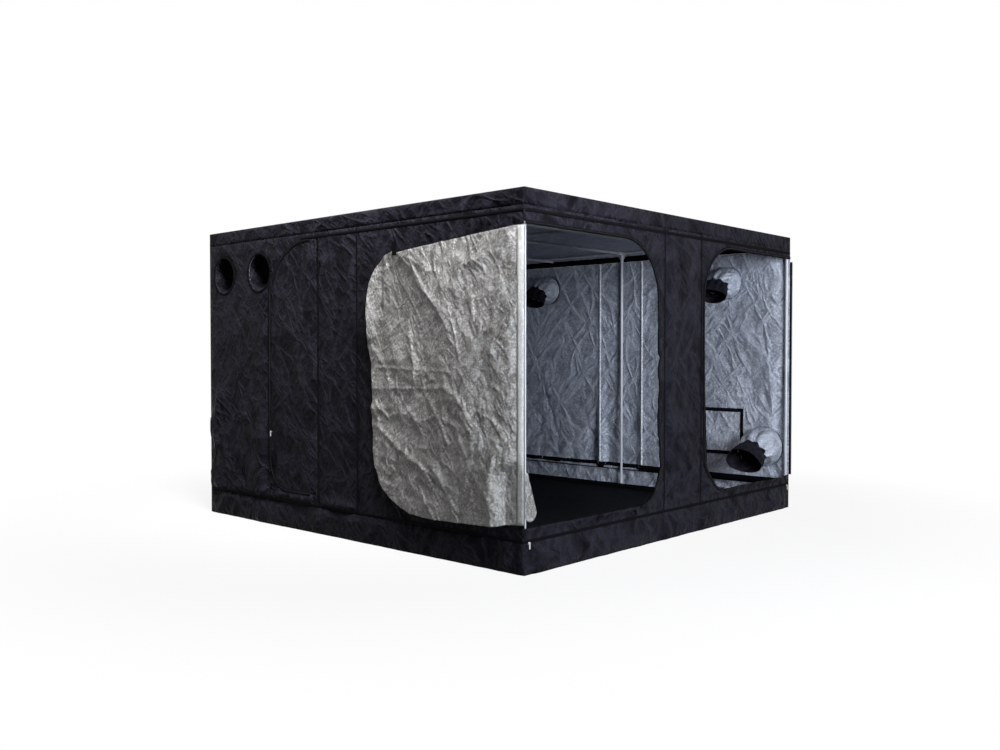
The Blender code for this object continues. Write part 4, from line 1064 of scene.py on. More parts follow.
def thicken(piece, thickness, finishes, offset=-1.0):
    """Give cloth its thickness, the second finish on its inner side."""
    for finish in finishes:
        piece.data.materials.append(finish)
    wall = piece.modifiers.new("thickness", "SOLIDIFY")
    wall.thickness = thickness
    wall.offset = offset
    wall.material_offset = len(finishes) - 1
    select_only(piece)
    bpy.ops.object.modifier_apply(modifier=wall.name)
    piece.data.shade_smooth()


def enter(piece, body, node=None):
    """Let a piece ride on its body, and hide the stand-in node that it replaces."""
    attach(piece, body)
    if node is not None:
        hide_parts(node)


print("Helpers for finishing cloth are ready")

# %% [markdown]
# The doorways are D-shaped: straight where they turn and round at the other two corners, so
# that one zip can run round them. Their outlines are arcs joined by straight lines.

# %% Outlines of the doorways
ARC_STEPS = 20


def arc(centre_x, centre_y, radius, start, end, steps):
    """List the points of an arc, angles in degrees."""
    angles = np.radians(np.linspace(start, end, steps + 1))
    return [(centre_x + radius * math.cos(a), centre_y + radius * math.sin(a)) for a in angles]


def d_outline(width, head, top_radius, low_radius):
    """Trace a doorway with one straight side at zero, from its foot round to its head."""
    low = arc(width - low_radius, SILL + low_radius, low_radius, -90, 0, ARC_STEPS)
    top = arc(width - top_radius, head - top_radius, top_radius, 0, 90, ARC_STEPS)
    return [(0, SILL)] + low + top + [(0, head)]


def access_outline(gap):
    """Trace the access door on the left face, smaller than its opening by a gap."""
    flat_outline = d_outline(ACCESS_WIDTH - gap, ACCESS_HEAD - gap, ACCESS_TOP_RADIUS, ACCESS_LOW_RADIUS)
    return [(left_across(ACCESS_HINGE + x), y) for x, y in flat_outline]


def polygon_area(outline):
    """Area inside a closed outline."""
    x, y = np.array(outline, float).T
    return abs(x @ np.roll(y, -1) - y @ np.roll(x, -1)) / 2


NEAR_DOORWAY = d_outline(NEAR_WIDTH, NEAR_HEAD, TOP_RADIUS, LOW_RADIUS)
FAR_DOORWAY = [(SPAN - x, y) for x, y in d_outline(FAR_WIDTH, FAR_HEAD, TOP_RADIUS, LOW_RADIUS)]
ACCESS = access_outline(0)
print("Near doorway:", round(polygon_area(NEAR_DOORWAY), 2), "m2")

# %% [markdown]
# The four walls are stretched over the poles and laid as grids on their faces. The left wall has
# its narrow door and two ports, and the right wall has three ports and the vent. The front wall
# is open to both corners at its doorways, so it is made of a middle panel with two strips at
# each side.

# %% The four walls
WALL_CELL = 0.015


def past_corner(outline, at_zero):
    """Push a doorway's straight side past the corner, so that the cut runs out of the wall."""
    edge = 0 if at_zero else SPAN
    beyond = -0.05 if at_zero else SPAN + 0.05
    return [(beyond if x == edge else x, y) for x, y in outline]


def lay_panel(name, face, box, openings, node=None):
    """Lay one rectangle of the cover on its face and cut its openings."""
    left, low, right, high = box
    piece = flat_grid(name, right - left, high - low, WALL_CELL)
    write_points(piece, read_points(piece) + (left, low, 0))
    for outline in openings:
        cut(piece, outline, WALL_CELL)
    flat = map_flat(piece)
    write_points(piece, face.lay(flat[:, 0], flat[:, 1], 0.0))
    thicken(piece, CLOTH_THICKNESS, (BLACK_CLOTH, SILVER_IN))
    enter(piece, "root", node)
    print(name, len(piece.data.polygons), "faces")


def port_rings(side):
    """List the round openings of one side wall."""
    rings = []
    for _, wall, deep, height, radius, _, _ in SLEEVES:
        if wall == side:
            middle = left_across(deep) if side == "left" else deep
            rings.append(arc(middle, height, radius, 0, 360, 40)[:-1])
    return rings


VENT_OUTLINE = [(VENT_NEAR, VENT_LOW), (VENT_FAR, VENT_LOW),
                (VENT_FAR, VENT_HIGH), (VENT_NEAR, VENT_HIGH)]
WHOLE_WALL = (0, WALL_LOW, SPAN, WALL_HIGH)
WALL_HOLES = (
    ("right", port_rings("right") + [VENT_OUTLINE]),
    ("left", port_rings("left") + [ACCESS]),
    ("back", []),
)
for side, holes in WALL_HOLES:
    lay_panel(side + "_wall_cloth", FACES[side], WHOLE_WALL, holes,
              side + "_wall")

# %% The front wall
SIDE = 0.62
doorways = polygon_area(NEAR_DOORWAY) - SIDE * (NEAR_HEAD - SILL)
doorways += polygon_area(FAR_DOORWAY) - SIDE * (FAR_HEAD - SILL)
lay_panel("front_wall_cloth", FRONT, (SIDE, WALL_LOW, SPAN - SIDE, WALL_HIGH),
          [past_corner(NEAR_DOORWAY, True), past_corner(FAR_DOORWAY, False)],
          "front_wall")
lay_panel("near_sill_cloth", FRONT, (0, WALL_LOW, SIDE, SILL), [])
lay_panel("near_head_cloth", FRONT, (0, NEAR_HEAD, SIDE, WALL_HIGH), [])
lay_panel("far_sill_cloth", FRONT, (SPAN - SIDE, WALL_LOW, SPAN, SILL), [])
lay_panel("far_head_cloth", FRONT, (SPAN - SIDE, FAR_HEAD, SPAN, WALL_HIGH), [])

# %% [markdown]
# The tray is the sewn floor with a band that stands up round it. The band is one strip, twelve
# metres long, folded round the four corners. Four separate strips would be simpler, but the
# corners would show a gap. It is the most crumpled cloth of all, because the tent's slack
# gathers at the ground.

# %% The base tray
BAND_CELL = 0.0125
FLOOR_CELL = 0.05
FRONT_SEAM_ZONE = 0.042
SLIDER_ACROSS = 0.035


def folded_round(along, up, off_at):
    """Fold a strip that is as long as the whole girth round the four faces."""
    places = np.zeros((len(along), 3))
    for index, face in enumerate((FRONT, RIGHT, BACK, LEFT)):
        here = (along >= index * SPAN) & (along <= (index + 1) * SPAN + 1e-6)
        across = along[here] - index * SPAN
        off = off_at(face, across, up[here])
        places[here] = face.place(across, up[here], off)
    return places


def band_relief(face, across, up):
    """Crumples of the base band, calm at its seam and at the corners."""
    lift = 0.020 * facets(across, up, 0.17, face.seed + 21)
    lift += 0.009 * facets(across, up, 0.07, face.seed + 22)
    lift += random_creases(across, up, face.seed + 23, 40, (0, 0), (SPAN, BAND_TOP), (0.08, 0.3), 20,
                           0.010)
    seam_zone = FRONT_SEAM_ZONE if face is FRONT else 0.0
    edge = np.minimum(np.minimum(across, SPAN - across), 1.4 * np.maximum(BAND_TOP - seam_zone - up, 0))
    foot = 0.35 + 0.65 * eased(up / 0.04)
    if face is FRONT:
        from_slider = np.minimum(abs(across - SLIDER_ACROSS), abs(across - SPAN + SLIDER_ACROSS))
        lift = lift * (0.05 + 0.95 * eased((from_slider - 0.02) / 0.04))
    return np.maximum(lift, 0) * eased(edge / 0.05) * foot


band = flat_grid("base_band_cloth", 4 * SPAN, BAND_TOP, BAND_CELL)
flat = map_flat(band)
write_points(band, folded_round(flat[:, 0], flat[:, 1], band_relief))
thicken(band, CLOTH_THICKNESS, (BLACK_CLOTH, SILVER_IN))
enter(band, "root", "base_tray")

tray_floor = flat_grid("tray_floor_cloth", SPAN, SPAN, FLOOR_CELL)
write_points(tray_floor, map_flat(tray_floor) - (HALF, HALF, -CLOTH_THICKNESS))
thicken(tray_floor, CLOTH_THICKNESS, (BLACK_CLOTH,))
enter(tray_floor, "root")
print("Base band and floor:", len(band.data.polygons) + len(tray_floor.data.polygons), "faces")

# %% [markdown]
# The roof is a square sheet with its band, pressed up by the poles beneath and sagging a
# little between them. It could be a box with its foot deleted, but then the cloth's weave would
# stop at each edge. Both stretches are therefore folded from one square grid: what lies past
# the edge of the roof is turned down into the band, and the spare corner squares are cut off.

# %% The roof
ROOF_CELL = 0.018
HAIR = 1e-5


def roof_sag(x, y):
    """How far the roof hangs between the poles."""
    half_bay = HALF / 2
    bay_x = 1 - np.abs(np.abs(x) - half_bay) / half_bay
    bay_y = 1 - np.abs(np.abs(y) - half_bay) / half_bay
    sag = 0.010 * eased(bay_x) * eased(bay_y)
    pull = 0.0035 * facets(x + 5, y + 5, 0.35, 31) + 0.0015 * facets(x + 5, y + 5, 0.12, 32)
    pull += np.abs(random_creases(x, y, 33, 30, (-HALF, -HALF), (HALF, HALF), (0.2, 0.8), 40, 0.003))
    edge = HALF - np.maximum(np.abs(x), np.abs(y))
    return sag + (0.005 - np.minimum(pull, 0.005)) * eased(edge / 0.08)


def roof_band_relief(face, across, up):
    """Small puckers of the roof band."""
    lift = 0.004 * facets(across, up, 0.17, face.seed + 41)
    lift += 0.0015 * facets(across, up, 0.06, face.seed + 42)
    edge = np.minimum(np.minimum(across, SPAN - across), np.minimum(up - ROOF_EDGE, TOP - up))
    return lift * eased(edge / 0.03)


class RoofBand:
    """The roof's band on one face, for what is sewn to it."""

    def __init__(self, face):
        self.face = face

    def lay(self, across, up, off):
        """Give the place of flat cloth once it lies on the band."""
        return self.face.place(across, up, roof_band_relief(self.face, across, up) + off)


drop = TOP - ROOF_EDGE
cut_size = SPAN + 2 * drop
middle = HALF + drop
roof = flat_grid("roof_cloth", cut_size, cut_size, ROOF_CELL)
flat = map_flat(roof) - (middle, middle, 0)
spare = np.min(np.abs(face_middles(roof)[:, :2] - middle), axis=1) > HALF
places = flat.copy()
places[:, 2] = TOP - roof_sag(flat[:, 0], flat[:, 1])
farthest = np.max(np.abs(flat[:, :2]), axis=1)
for face in FACES.values():
    past = flat[:, 0] * face.outward[0] + flat[:, 1] * face.outward[1]
    mine = (past > HALF - HAIR) & (past >= farthest - HAIR / 10)
    across = np.clip((flat[mine] - face.origin) @ face.across, 0, SPAN)
    up = TOP - (past[mine] - HALF)
    places[mine] = face.place(across, up, roof_band_relief(face, across, up))
write_points(roof, places)
delete_faces(roof, spare)
merge_points(roof, 0.0015)
thicken(roof, CLOTH_THICKNESS, (BLACK_CLOTH, SILVER_IN))
enter(roof, "root", "roof_cover")
print("Roof:", len(roof.data.polygons), "faces")

# %% [markdown]
# The narrow door in the left wall lets a hand in without opening the front. It could be the
# piece that the wall's own cut left over, but it has to be a piece of its own to swing. So it
# is cut from the same flat cloth and laid on the same face, where its creases run on into the
# wall's, and it rides on its own body.

# %% The access door
DOOR_GAP = 0.0015
access_shape = access_outline(DOOR_GAP)
access_door = flat_grid("access_door_cloth", ACCESS_WIDTH, ACCESS_HEAD - SILL, WALL_CELL)
points = read_points(access_door)
points[:, :2] += (left_across(ACCESS_HINGE + ACCESS_WIDTH), SILL)
write_points(access_door, points)
cut(access_door, access_shape, WALL_CELL, keep_inside=True)
flat = map_flat(access_door)
write_points(access_door, LEFT.lay(flat[:, 0], flat[:, 1], 0.0))
thicken(access_door, CLOTH_THICKNESS, (BLACK_CLOTH, SILVER_IN))
enter(access_door, "access_door", "left_access_door")
print("Access door:", len(access_door.data.polygons), "faces")

# %% [markdown]
# The front doors are zipped out and folded back round the corners, silver side out. A simulated
# cloth would fold where it likes, while these folds have their places in the picture, so they
# are drawn. Each leaf is flat at first, as distance from its hinge and height. These are its
# edge, and the long creases that run from the tie strap and the hinge, with two lines where
# the cloth was folded in its box.

# %% The edge and the creases of a folded leaf
LEAF_EDGE = (
    (0.003, 0.262), (0.25, 0.246), (0.52, 0.232), (0.76, 0.227), (0.86, 0.237), (0.94, 0.262),
    (1.03, 0.312), (1.10, 0.375), (1.15, 0.46), (1.18, 0.56), (1.188, 0.75), (1.19, 0.95),
    (1.198, 1.08), (1.225, 1.18), (1.248, 1.28), (1.256, 1.38), (1.25, 1.47), (1.225, 1.56),
    (1.17, 1.64), (1.09, 1.70), (0.995, 1.732), (0.965, 1.716), (0.80, 1.731), (0.50, 1.762),
    (0.25, 1.786), (0.003, 1.808),
)
LEAF_CREASES = (
    (((0.04, 1.79), (0.30, 1.64), (0.44, 1.61)), 0.022, 0.020),
    (((0.95, 1.71), (0.83, 1.61), (0.78, 1.52), (0.64, 1.41), (0.55, 1.28)), 0.011, 0.012),
    (((0.90, 1.70), (0.72, 1.60), (0.62, 1.60)), 0.009, 0.010),
    (((0.60, 1.40), (0.50, 1.30), (0.45, 1.12)), 0.012, 0.012),
    (((0.34, 1.17), (0.30, 1.26), (0.13, 1.30), (0.05, 1.33)), 0.016, 0.016),
    (((0.38, 1.04), (0.20, 1.19), (0.10, 1.26)), 0.020, 0.022),
    (((0.86, 1.26), (0.81, 1.10), (0.81, 0.98)), 0.016, 0.010),
    (((1.18, 1.07), (0.53, 1.05)), 0.006, 0.006),
    (((1.18, 0.94), (0.57, 0.96)), 0.007, 0.006),
    (((1.19, 1.19), (1.05, 1.05), (1.01, 0.91)), 0.010, 0.010),
    (((0.53, 0.95), (0.42, 0.86), (0.36, 0.76)), 0.014, 0.010),
    (((0.70, 0.90), (0.60, 0.78), (0.54, 0.66)), 0.013, 0.009),
    (((1.13, 0.72), (0.96, 0.62), (1.03, 0.44)), 0.016, 0.012),
    (((0.92, 0.60), (0.74, 0.52), (0.66, 0.42)), 0.016, 0.010),
    (((0.86, 0.56), (0.64, 0.47)), 0.014, 0.010),
    (((0.20, 0.60), (0.24, 0.48), (0.22, 0.27)), 0.018, 0.012),
    (((0.16, 0.53), (0.07, 0.40), (0.04, 0.28)), 0.014, 0.012),
    (((0.77, 0.40), (0.68, 0.28), (0.64, 0.24)), 0.014, 0.010),
    (((1.15, 0.86), (1.05, 0.78), (0.98, 0.80)), 0.010, 0.010),
    (((0.45, 0.70), (0.38, 0.55), (0.42, 0.40)), 0.010, 0.010),
)
print("A leaf is", round(polygon_area(LEAF_EDGE), 2), "m2 with", len(LEAF_CREASES), "long creases")

# %% [markdown]
# The broad shape comes next: a stiff strip beside the hinge that turns to the light, one long
# ridge, and a free corner that curls forward. Widths are given as (height, width) pairs. Near
# its hinge the leaf stays low, and lowest at its foot, because once it is shut that part has
# to pass the corner post and the light flap.

# %% The broad shape of a folded leaf
CURL_LINE = ((0.985, 1.75), (1.03, 1.60), (1.10, 1.42), (1.16, 1.24))
HINGE_STRIP = (
    (0.25, 0.03), (0.37, 0.022), (0.48, 0.055), (0.58, 0.072), (0.80, 0.066), (0.91, 0.045),
    (1.06, 0.042), (1.15, 0.03), (1.23, 0.016), (1.36, 0.05), (1.41, 0.082), (1.55, 0.088),
    (1.81, 0.07),
)
LEAF_RIDGE = (
    (0.25, 0.16), (0.40, 0.20), (0.60, 0.28), (0.80, 0.42), (0.95, 0.53), (1.05, 0.50),
    (1.12, 0.50), (1.31, 0.55), (1.39, 0.64), (1.56, 0.79), (1.81, 0.95),
)
LEAF_MOST = 0.088
POST_FROM, POST_ROOM = 0.058, 0.0155
FREE_FROM, FREE_ROOM = 0.165, 0.098
HINGE_ROOM = 0.003
FLAP_TOP = 0.60
FLAP_REACH = 0.072


def along_table(table, up):
    """Read a width off a table of heights."""
    heights, widths = zip(*table)
    return np.interp(up, heights, widths)


def hinge_room(out, up):
    """How far the cloth may stand off: little beside the hinge, where a shut leaf passes the post."""
    by_flap = eased((FLAP_TOP - up) / 0.08)
    out = out - FLAP_REACH * by_flap * np.clip(out / POST_FROM, 0, 1)
    room = np.interp(out, (0.0, POST_FROM, FREE_FROM), (HINGE_ROOM, POST_ROOM, FREE_ROOM))
    return room - 0.4 * by_flap * np.minimum(room, POST_ROOM)


def leaf_sweep(out, up):
    """The broad shape of a folded leaf: a strip at the hinge, one long ridge and a curled corner."""
    crest = along_table(HINGE_STRIP, up)
    strip = 0.024 * np.where(out < crest, out / crest, 1 - 0.35 * eased((out - crest) / 0.03))
    ridge = along_table(LEAF_RIDGE, up)
    rising = np.clip(out / ridge, 0, 1)
    falling = np.clip((out - ridge) / (1.17 - ridge), 0, 1)
    height = 0.058 + 0.028 * ridge
    lift = 0.5 * strip * (1 - 0.6 * rising) + height * rising - (height - 0.006) * falling
    curl = np.zeros(np.shape(out))
    for start, end in zip(CURL_LINE, CURL_LINE[1:]):
        run = np.array(end) - np.array(start)
        run = run / np.hypot(*run)
        past = (out - start[0]) * -run[1] + (up - start[1]) * run[0]
        mine = eased((up - end[1] + 0.05) / 0.05) * eased((start[1] + 0.05 - up) / 0.05)
        bowed = np.where(past > 0.03, past - 0.015, np.maximum(past, 0) ** 2 / 0.06)
        curl = np.maximum(curl, (0.75 - 1.1 * np.clip(up - 1.25, 0, 0.45)) * bowed * mine)
    return np.minimum(np.minimum(lift + curl, LEAF_MOST), hinge_room(out, up))


ridge_lift = leaf_sweep(np.full(1, 0.53), np.full(1, 0.95))
print("The ridge stands", round(float(ridge_lift[0]), 3), "m off the wall at mid height")

# %% [markdown]
# Crumples and the drawn creases go on top, weaker where the real leaf is smooth. Lifting the
# cloth off the wall draws its free edge in towards the hinge, since cloth doesn't stretch. What
# is sewn to the leaf asks the same class for its place, so it follows every fold.

# %% The leaf with its crumples
def leaf_detail(out, up, seed, strength):
    """Crumples and sharp creases on top of the broad shape."""
    smooth = np.exp(-((out - 0.82) / 0.24) ** 2 - ((up - 1.38) / 0.24) ** 2)
    smooth = np.maximum(smooth, eased(1.6 - out / along_table(HINGE_STRIP, up)))
    smooth = np.maximum(smooth, eased((out - 1.06) / 0.05) * eased((up - 1.22) / 0.1))
    rough = strength * (1 - 0.75 * smooth)
    lift = rough * 0.014 * facets(out, up, 0.15, seed + 3)
    lift += rough * 0.009 * facets(out, up, 0.075, seed + 4)
    lift += rough * 0.0035 * facets(out, up, 0.034, seed + 5)
    lift += rough * random_creases(out, up, seed + 6, 70, (0.1, 0.25), (1.2, 1.75), (0.06, 0.2), -110,
                                   0.009)
    lift += rough * random_creases(out, up, seed + 7, 50, (0.1, 0.25), (1.2, 1.0), (0.08, 0.3), -125,
                                   0.011)
    for path, height, soft in LEAF_CREASES:
        lift += crease(out, up, path, 0.95 * height, 0.8 * soft)
    return lift


class Leaf:
    """A folded leaf: its side, its crumples' seed and strength, and its share of the broad shape."""

    def __init__(self, side, seed, strength, breadth):
        self.side, self.seed, self.strength, self.breadth = side, seed, strength, breadth

    def places(self, out, up):
        """Fold the leaf round the corner and lift it off the wall, drawn in towards the hinge."""
        hem = eased(out / 0.02)
        broad = leaf_sweep(out, up) * hem * self.breadth
        fixed = np.minimum(1.0, 0.15 + eased(out / 0.07))
        detail = leaf_detail(out, up, self.seed, self.strength) * hem * fixed
        off = np.clip(broad + detail, 0, hinge_room(out, up))
        drawn_in = (0.87 + 0.27 * out) * broad
        return np.stack((self.side * (HINGE + off), -HINGE + out - drawn_in, up), axis=1)

    def lay(self, out, up, off):
        """Give the place of flat cloth once it lies on the leaf, off its silver side."""
        here = self.places(out, up)
        along = self.places(out + 0.004, up) - here
        rise = self.places(out, up + 0.004) - here
        away = np.cross(along, rise) * self.side
        away = away / np.linalg.norm(away, axis=1)[:, None]
        return here + away * np.reshape(off, (-1, 1))


LEAVES = {"left": Leaf(-1, 3, 1.0, 1.0), "right": Leaf(1, 44, 0.8, 0.4)}
LEAF_CELLS = {"left": 0.007, "right": 0.012}
LEAF_FOOT = 0.21
BLANK_WIDTH, BLANK_HEIGHT = 1.28, 1.62
for label, leaf in LEAVES.items():
    piece = flat_grid(f"door_leaf_{label}_cloth", BLANK_WIDTH, BLANK_HEIGHT, LEAF_CELLS[label])
    write_points(piece, read_points(piece) + (0, LEAF_FOOT, 0))
    cut(piece, LEAF_EDGE, LEAF_CELLS[label], keep_inside=True)
    flat = map_flat(piece)
    write_points(piece, leaf.places(flat[:, 0], flat[:, 1]))
    if leaf.side < 0:
        piece.data.flip_normals()
    thicken(piece, CLOTH_THICKNESS, (SILVER_OUT, BLACK_CLOTH))
    enter(piece, f"door_front_{label}", f"door_leaf_front_{label}")
    print(piece.name, len(piece.data.polygons), "faces")

# %% [markdown]
# Seams, zips and bindings are all tapes. A tape could be a flat curve with a width, but that
# wouldn't bend with the cloth. Here it is a narrow grid that follows a path in the flat cloth
# and is laid on the same face, so it takes every crease below it. Its map runs along the path
# in metres, and the stitches follow it.

# %% Tapes
OUTSIDE, INSIDE = 0.0016, -0.0014


def even_path(path, step, closed=False):
    """Walk a path in even steps."""
    points = np.array(list(path) + ([path[0]] if closed else []), float)
    lengths = np.concatenate(([0], np.cumsum(np.hypot(*np.diff(points, axis=0).T))))
    count = max(2, round(lengths[-1] / step) + 1)
    walked = np.linspace(0, lengths[-1], count)
    return np.stack([np.interp(walked, lengths, points[:, axis]) for axis in (0, 1)], axis=1), walked


def tape(name, path, width, face, off, finish, body="root", crown=0.0,
         thickness=0.0011, columns=2, step=0.02, closed=False):
    """Lay a tape of even width along a path on a face."""
    line, walked = even_path(path, step, closed)
    ahead = np.gradient(line, axis=0)
    if closed:
        ahead[0] = ahead[-1] = line[1] - line[-2]
    ahead = ahead / np.hypot(*ahead.T)[:, None]
    sideways = np.stack((-ahead[:, 1], ahead[:, 0]), axis=1)
    piece = new_grid(name, len(line) - 1, columns)
    shares = read_points(piece)[:, :2] + 0.5
    index = np.rint(shares[:, 0] * (len(line) - 1)).astype(int)
    over = (shares[:, 1] - 0.5) * width
    write_map(piece, np.stack((walked[index], over), axis=1))
    spot = line[index] + over[:, None] * sideways[index]
    rise = crown * (1 - (2 * shares[:, 1] - 1) ** 2)
    write_points(piece, face.lay(spot[:, 0], spot[:, 1], off + rise))
    thicken(piece, thickness, (finish,))
    enter(piece, body)


print("Tapes lie", OUTSIDE * 1000, "mm off the cloth")

# %% [markdown]
# Every wall has two upright seams, a seam under the roof and one above the tray. Inside, the
# seams are covered with strips of lining that stand up a little, painted near white as a painted
# highlight, and a strap of webbing runs along the foot and the head, which hangs the cover on
# its poles.

# %% Seams and straps
HEADER_SEAM = 1.884
HEADER_FROM_LEFT = 1.9
FOOT_SEAM = WALL_LOW + 0.010
LOW_STRAP, HIGH_STRAP = 0.182, 1.937
SEAM_INSET, STRAP_INSET = 0.004, 0.01
for side, face in FACES.items():
    for index, across in enumerate(SEAMS[side]):
        seam_top = (across, WALL_HIGH - 0.002)
        tape(f"seam_{side}_{index}", ((across, WALL_LOW + 0.002), seam_top), 0.013, face, OUTSIDE,
             BINDING, crown=0.0012)
        # The inner seam tapes are painted near white: a painted highlight.
        tape(f"lining_seam_{side}_{index}", ((across, 0.21), seam_top), 0.016, face, INSIDE, SEAM_TAPE,
             crown=-0.010, columns=4)
    header_from = left_across(HEADER_FROM_LEFT) if face is LEFT else SEAM_INSET
    header = ((header_from, HEADER_SEAM), (SPAN - SEAM_INSET, HEADER_SEAM))
    tape(f"header_seam_{side}", header, 0.020, face, OUTSIDE, BINDING, crown=0.0015)
    foot = ((SEAM_INSET, FOOT_SEAM), (SPAN - SEAM_INSET, FOOT_SEAM))
    tape(f"foot_seam_{side}", foot, 0.016, face, 0.0014, BINDING, crown=0.001)
    low_strap = ((STRAP_INSET, LOW_STRAP), (SPAN - STRAP_INSET, LOW_STRAP))
    tape(f"inner_low_strap_{side}", low_strap, 0.052, face, INSIDE, WEBBING)
    high_strap = ((STRAP_INSET, HIGH_STRAP), (SPAN - STRAP_INSET, HIGH_STRAP))
    tape(f"inner_high_strap_{side}", high_strap, 0.048, RoofBand(face), INSIDE, WEBBING)
print("Seams:", {side: len(seams) for side, seams in SEAMS.items()})

# %% [markdown]
# The doorways are bound on both sides and carry one half of their zip, and the ports and the
# vent are bound outside. The other half of each front zip is sewn round the leaf, whose hinge
# edge has a hem of lining, painted lighter than the leaf as a painted highlight on the strip that
# turns to the light. The access door's zip begins six centimetres from its hinge.

# %% Bindings and zips
BINDING_WIDTH = 0.020
DOORWAYS = (("near", NEAR_DOORWAY[1:]), ("far", FAR_DOORWAY[1:]))
for label, path in DOORWAYS:
    tape(f"{label}_doorway_binding", path, BINDING_WIDTH, FRONT, OUTSIDE, BINDING, crown=0.0012)
for label, path in DOORWAYS:
    tape(f"{label}_doorway_inner_binding", path, BINDING_WIDTH, FRONT, INSIDE, BINDING)
for label, path in DOORWAYS:
    tape(f"{label}_doorway_coil", path, 0.0045, FRONT, 0.0030, ZIP_TEETH, crown=0.0016, columns=4,
         step=0.012)

zip_from = left_across(ACCESS_HINGE + 0.06)
access_zip = [(zip_from, SILL)] + ACCESS[1:-1] + [(zip_from, ACCESS_HEAD)]
tape("access_zip_tape", access_zip, 0.030, LEFT, 0.0014, WEBBING, "access_door")
tape("access_zip_coil", access_zip, 0.0055, LEFT, OUTSIDE, ZIP_TEETH, "access_door", crown=0.0022,
     columns=4, step=0.012)
for side in ("left", "right"):
    for index, ring_path in enumerate(port_rings(side)):
        tape(f"port_binding_{side}_{index}", ring_path, 0.018, FACES[side], OUTSIDE, BINDING,
             crown=0.0015, closed=True)
tape("vent_binding", VENT_OUTLINE, 0.022, RIGHT, OUTSIDE, WEBBING, closed=True)

HEM_LINE = ((0.027, 0.266), (0.027, 1.802))
for label, leaf in LEAVES.items():
    body = f"door_front_{label}"
    tape(f"leaf_zip_{label}", LEAF_EDGE[1:-1], 0.016, leaf, -0.0030, WEBBING, body)
    # The hem is a lighter strip of lining along the hinge: a painted highlight.
    tape(f"leaf_hem_painted_light_{label}", HEM_LINE, 0.046, leaf, 0.0006, HEM_TAPE, body,
         columns=4)

# %% [markdown]
# The corner seams are piped: a thin cord covered in lining runs up the two front corners, held by
# a narrow web, and this is what the doors turn on. The cord's lining is painted a darker grey, as
# painted shade. The cord is straight, so a cylinder is all that it needs, and the web is a strip
# of cloth that stands out at 45 degrees.

# %% Corner piping
PIPING_RADIUS = 0.0027
WEB_CELL = 0.006
WEB_SINK = 0.0008
length = NEAR_HEAD - SILL
for side, label in ((-1, "left"), (1, "right")):
    deselect_all()
    bpy.ops.mesh.primitive_cylinder_add(vertices=20, radius=PIPING_RADIUS, depth=length,
                                        location=(side * HINGE, -HINGE, (SILL + NEAR_HEAD) / 2))
    bead = bpy.context.object
    bead.name = f"corner_piping_{label}"
    bpy.ops.object.transform_apply(location=True, rotation=True, scale=True)
    # The cord's darker grey is painted shade.
    bead.data.materials.append(PIPING)
    bead.data.shade_smooth()
    enter(bead, "root")
    web = flat_grid(f"corner_web_{label}", HINGE - HALF, length, WEB_CELL)
    slant, height, _ = map_flat(web).T
    web_root = HALF - WEB_SINK
    write_points(web, np.stack((side * (web_root + slant), -web_root - slant, SILL + height), axis=1))
    thicken(web, CLOTH_THICKNESS, (BINDING,), offset=0.0)
    enter(web, "root")
print("Corner piping is", round(length, 3), "m long")

# %% [markdown]
# A duct sleeve is a short tube of cloth sewn into a round port. It hangs into the tent and is
# drawn in towards its end, so its pleats grow along its length. A cylinder could be bent by a
# modifier, but its pleats would be even, so the tube is a grid rolled up by a formula and
# closed along one seam. Its last part is a black cuff.

# %% Duct sleeves
STRAIGHT = 0.02
AROUND = 96
SLEEVE_ROWS = 34
CUFF_FROM = 0.58


def sleeve_places(shares, radius, reach, droop, seed, grow):
    """Bend, taper and pleat a sleeve that runs along +X from its port."""
    around, along = shares[:, 0] * 2 * math.pi, shares[:, 1]
    bend = math.radians(droop)
    turn_radius = (reach - STRAIGHT) / bend
    run = np.clip((along * reach - STRAIGHT) / (reach - STRAIGHT), 0, 1)
    tilt = bend * run
    centre_x = np.where(along * reach < STRAIGHT, along * reach, STRAIGHT + turn_radius * np.sin(tilt))
    centre_z = -turn_radius * (1 - np.cos(tilt))
    drawn_in = 1 - 0.24 * np.exp(-((along - CUFF_FROM) / 0.2) ** 2) - 0.10 * along
    wander = 1.5 * swell(around, along, 1.1, seed)
    pleats = 0.07 * np.cos(9 * around + wander) * np.exp(-((along - 0.5) / 0.25) ** 2)
    pleats += 0.05 * np.cos(3 * around + seed) + 0.02 * facets(around, along * 3, 0.5, seed)
    size = (radius - 0.001) * (1 + grow) * (drawn_in + pleats * eased(along * 2.2))
    flat_down = 1 - 0.22 * eased(along * 1.4)
    side, up = np.cos(around) * size, np.sin(around) * size * flat_down
    return np.stack((centre_x + up * np.sin(tilt), side, centre_z + up * np.cos(tilt)), axis=1)


def make_tube(name, low, high, rows, sleeve, grow, finishes, node=None):
    """Make one stretch of a sleeve and close its seam."""
    _, wall, deep, height, radius, reach, droop = sleeve
    piece = new_grid(name, AROUND, rows)
    shares = read_points(piece)[:, :2] + 0.5
    shares[:, 1] = low + (high - low) * shares[:, 1]
    girth = 2 * math.pi * radius
    write_map(piece, shares * (girth, reach))
    inwards = 1 if wall == "left" else -1
    port = np.array((-inwards * HALF, deep - HALF, height))
    places = sleeve_places(shares, radius, reach, droop, len(name), grow)
    write_points(piece, places * (inwards, -inwards, 1) + port)
    merge_points(piece, 0.0001, face_outwards=True)
    thicken(piece, 0.001, finishes)
    enter(piece, "root", node)


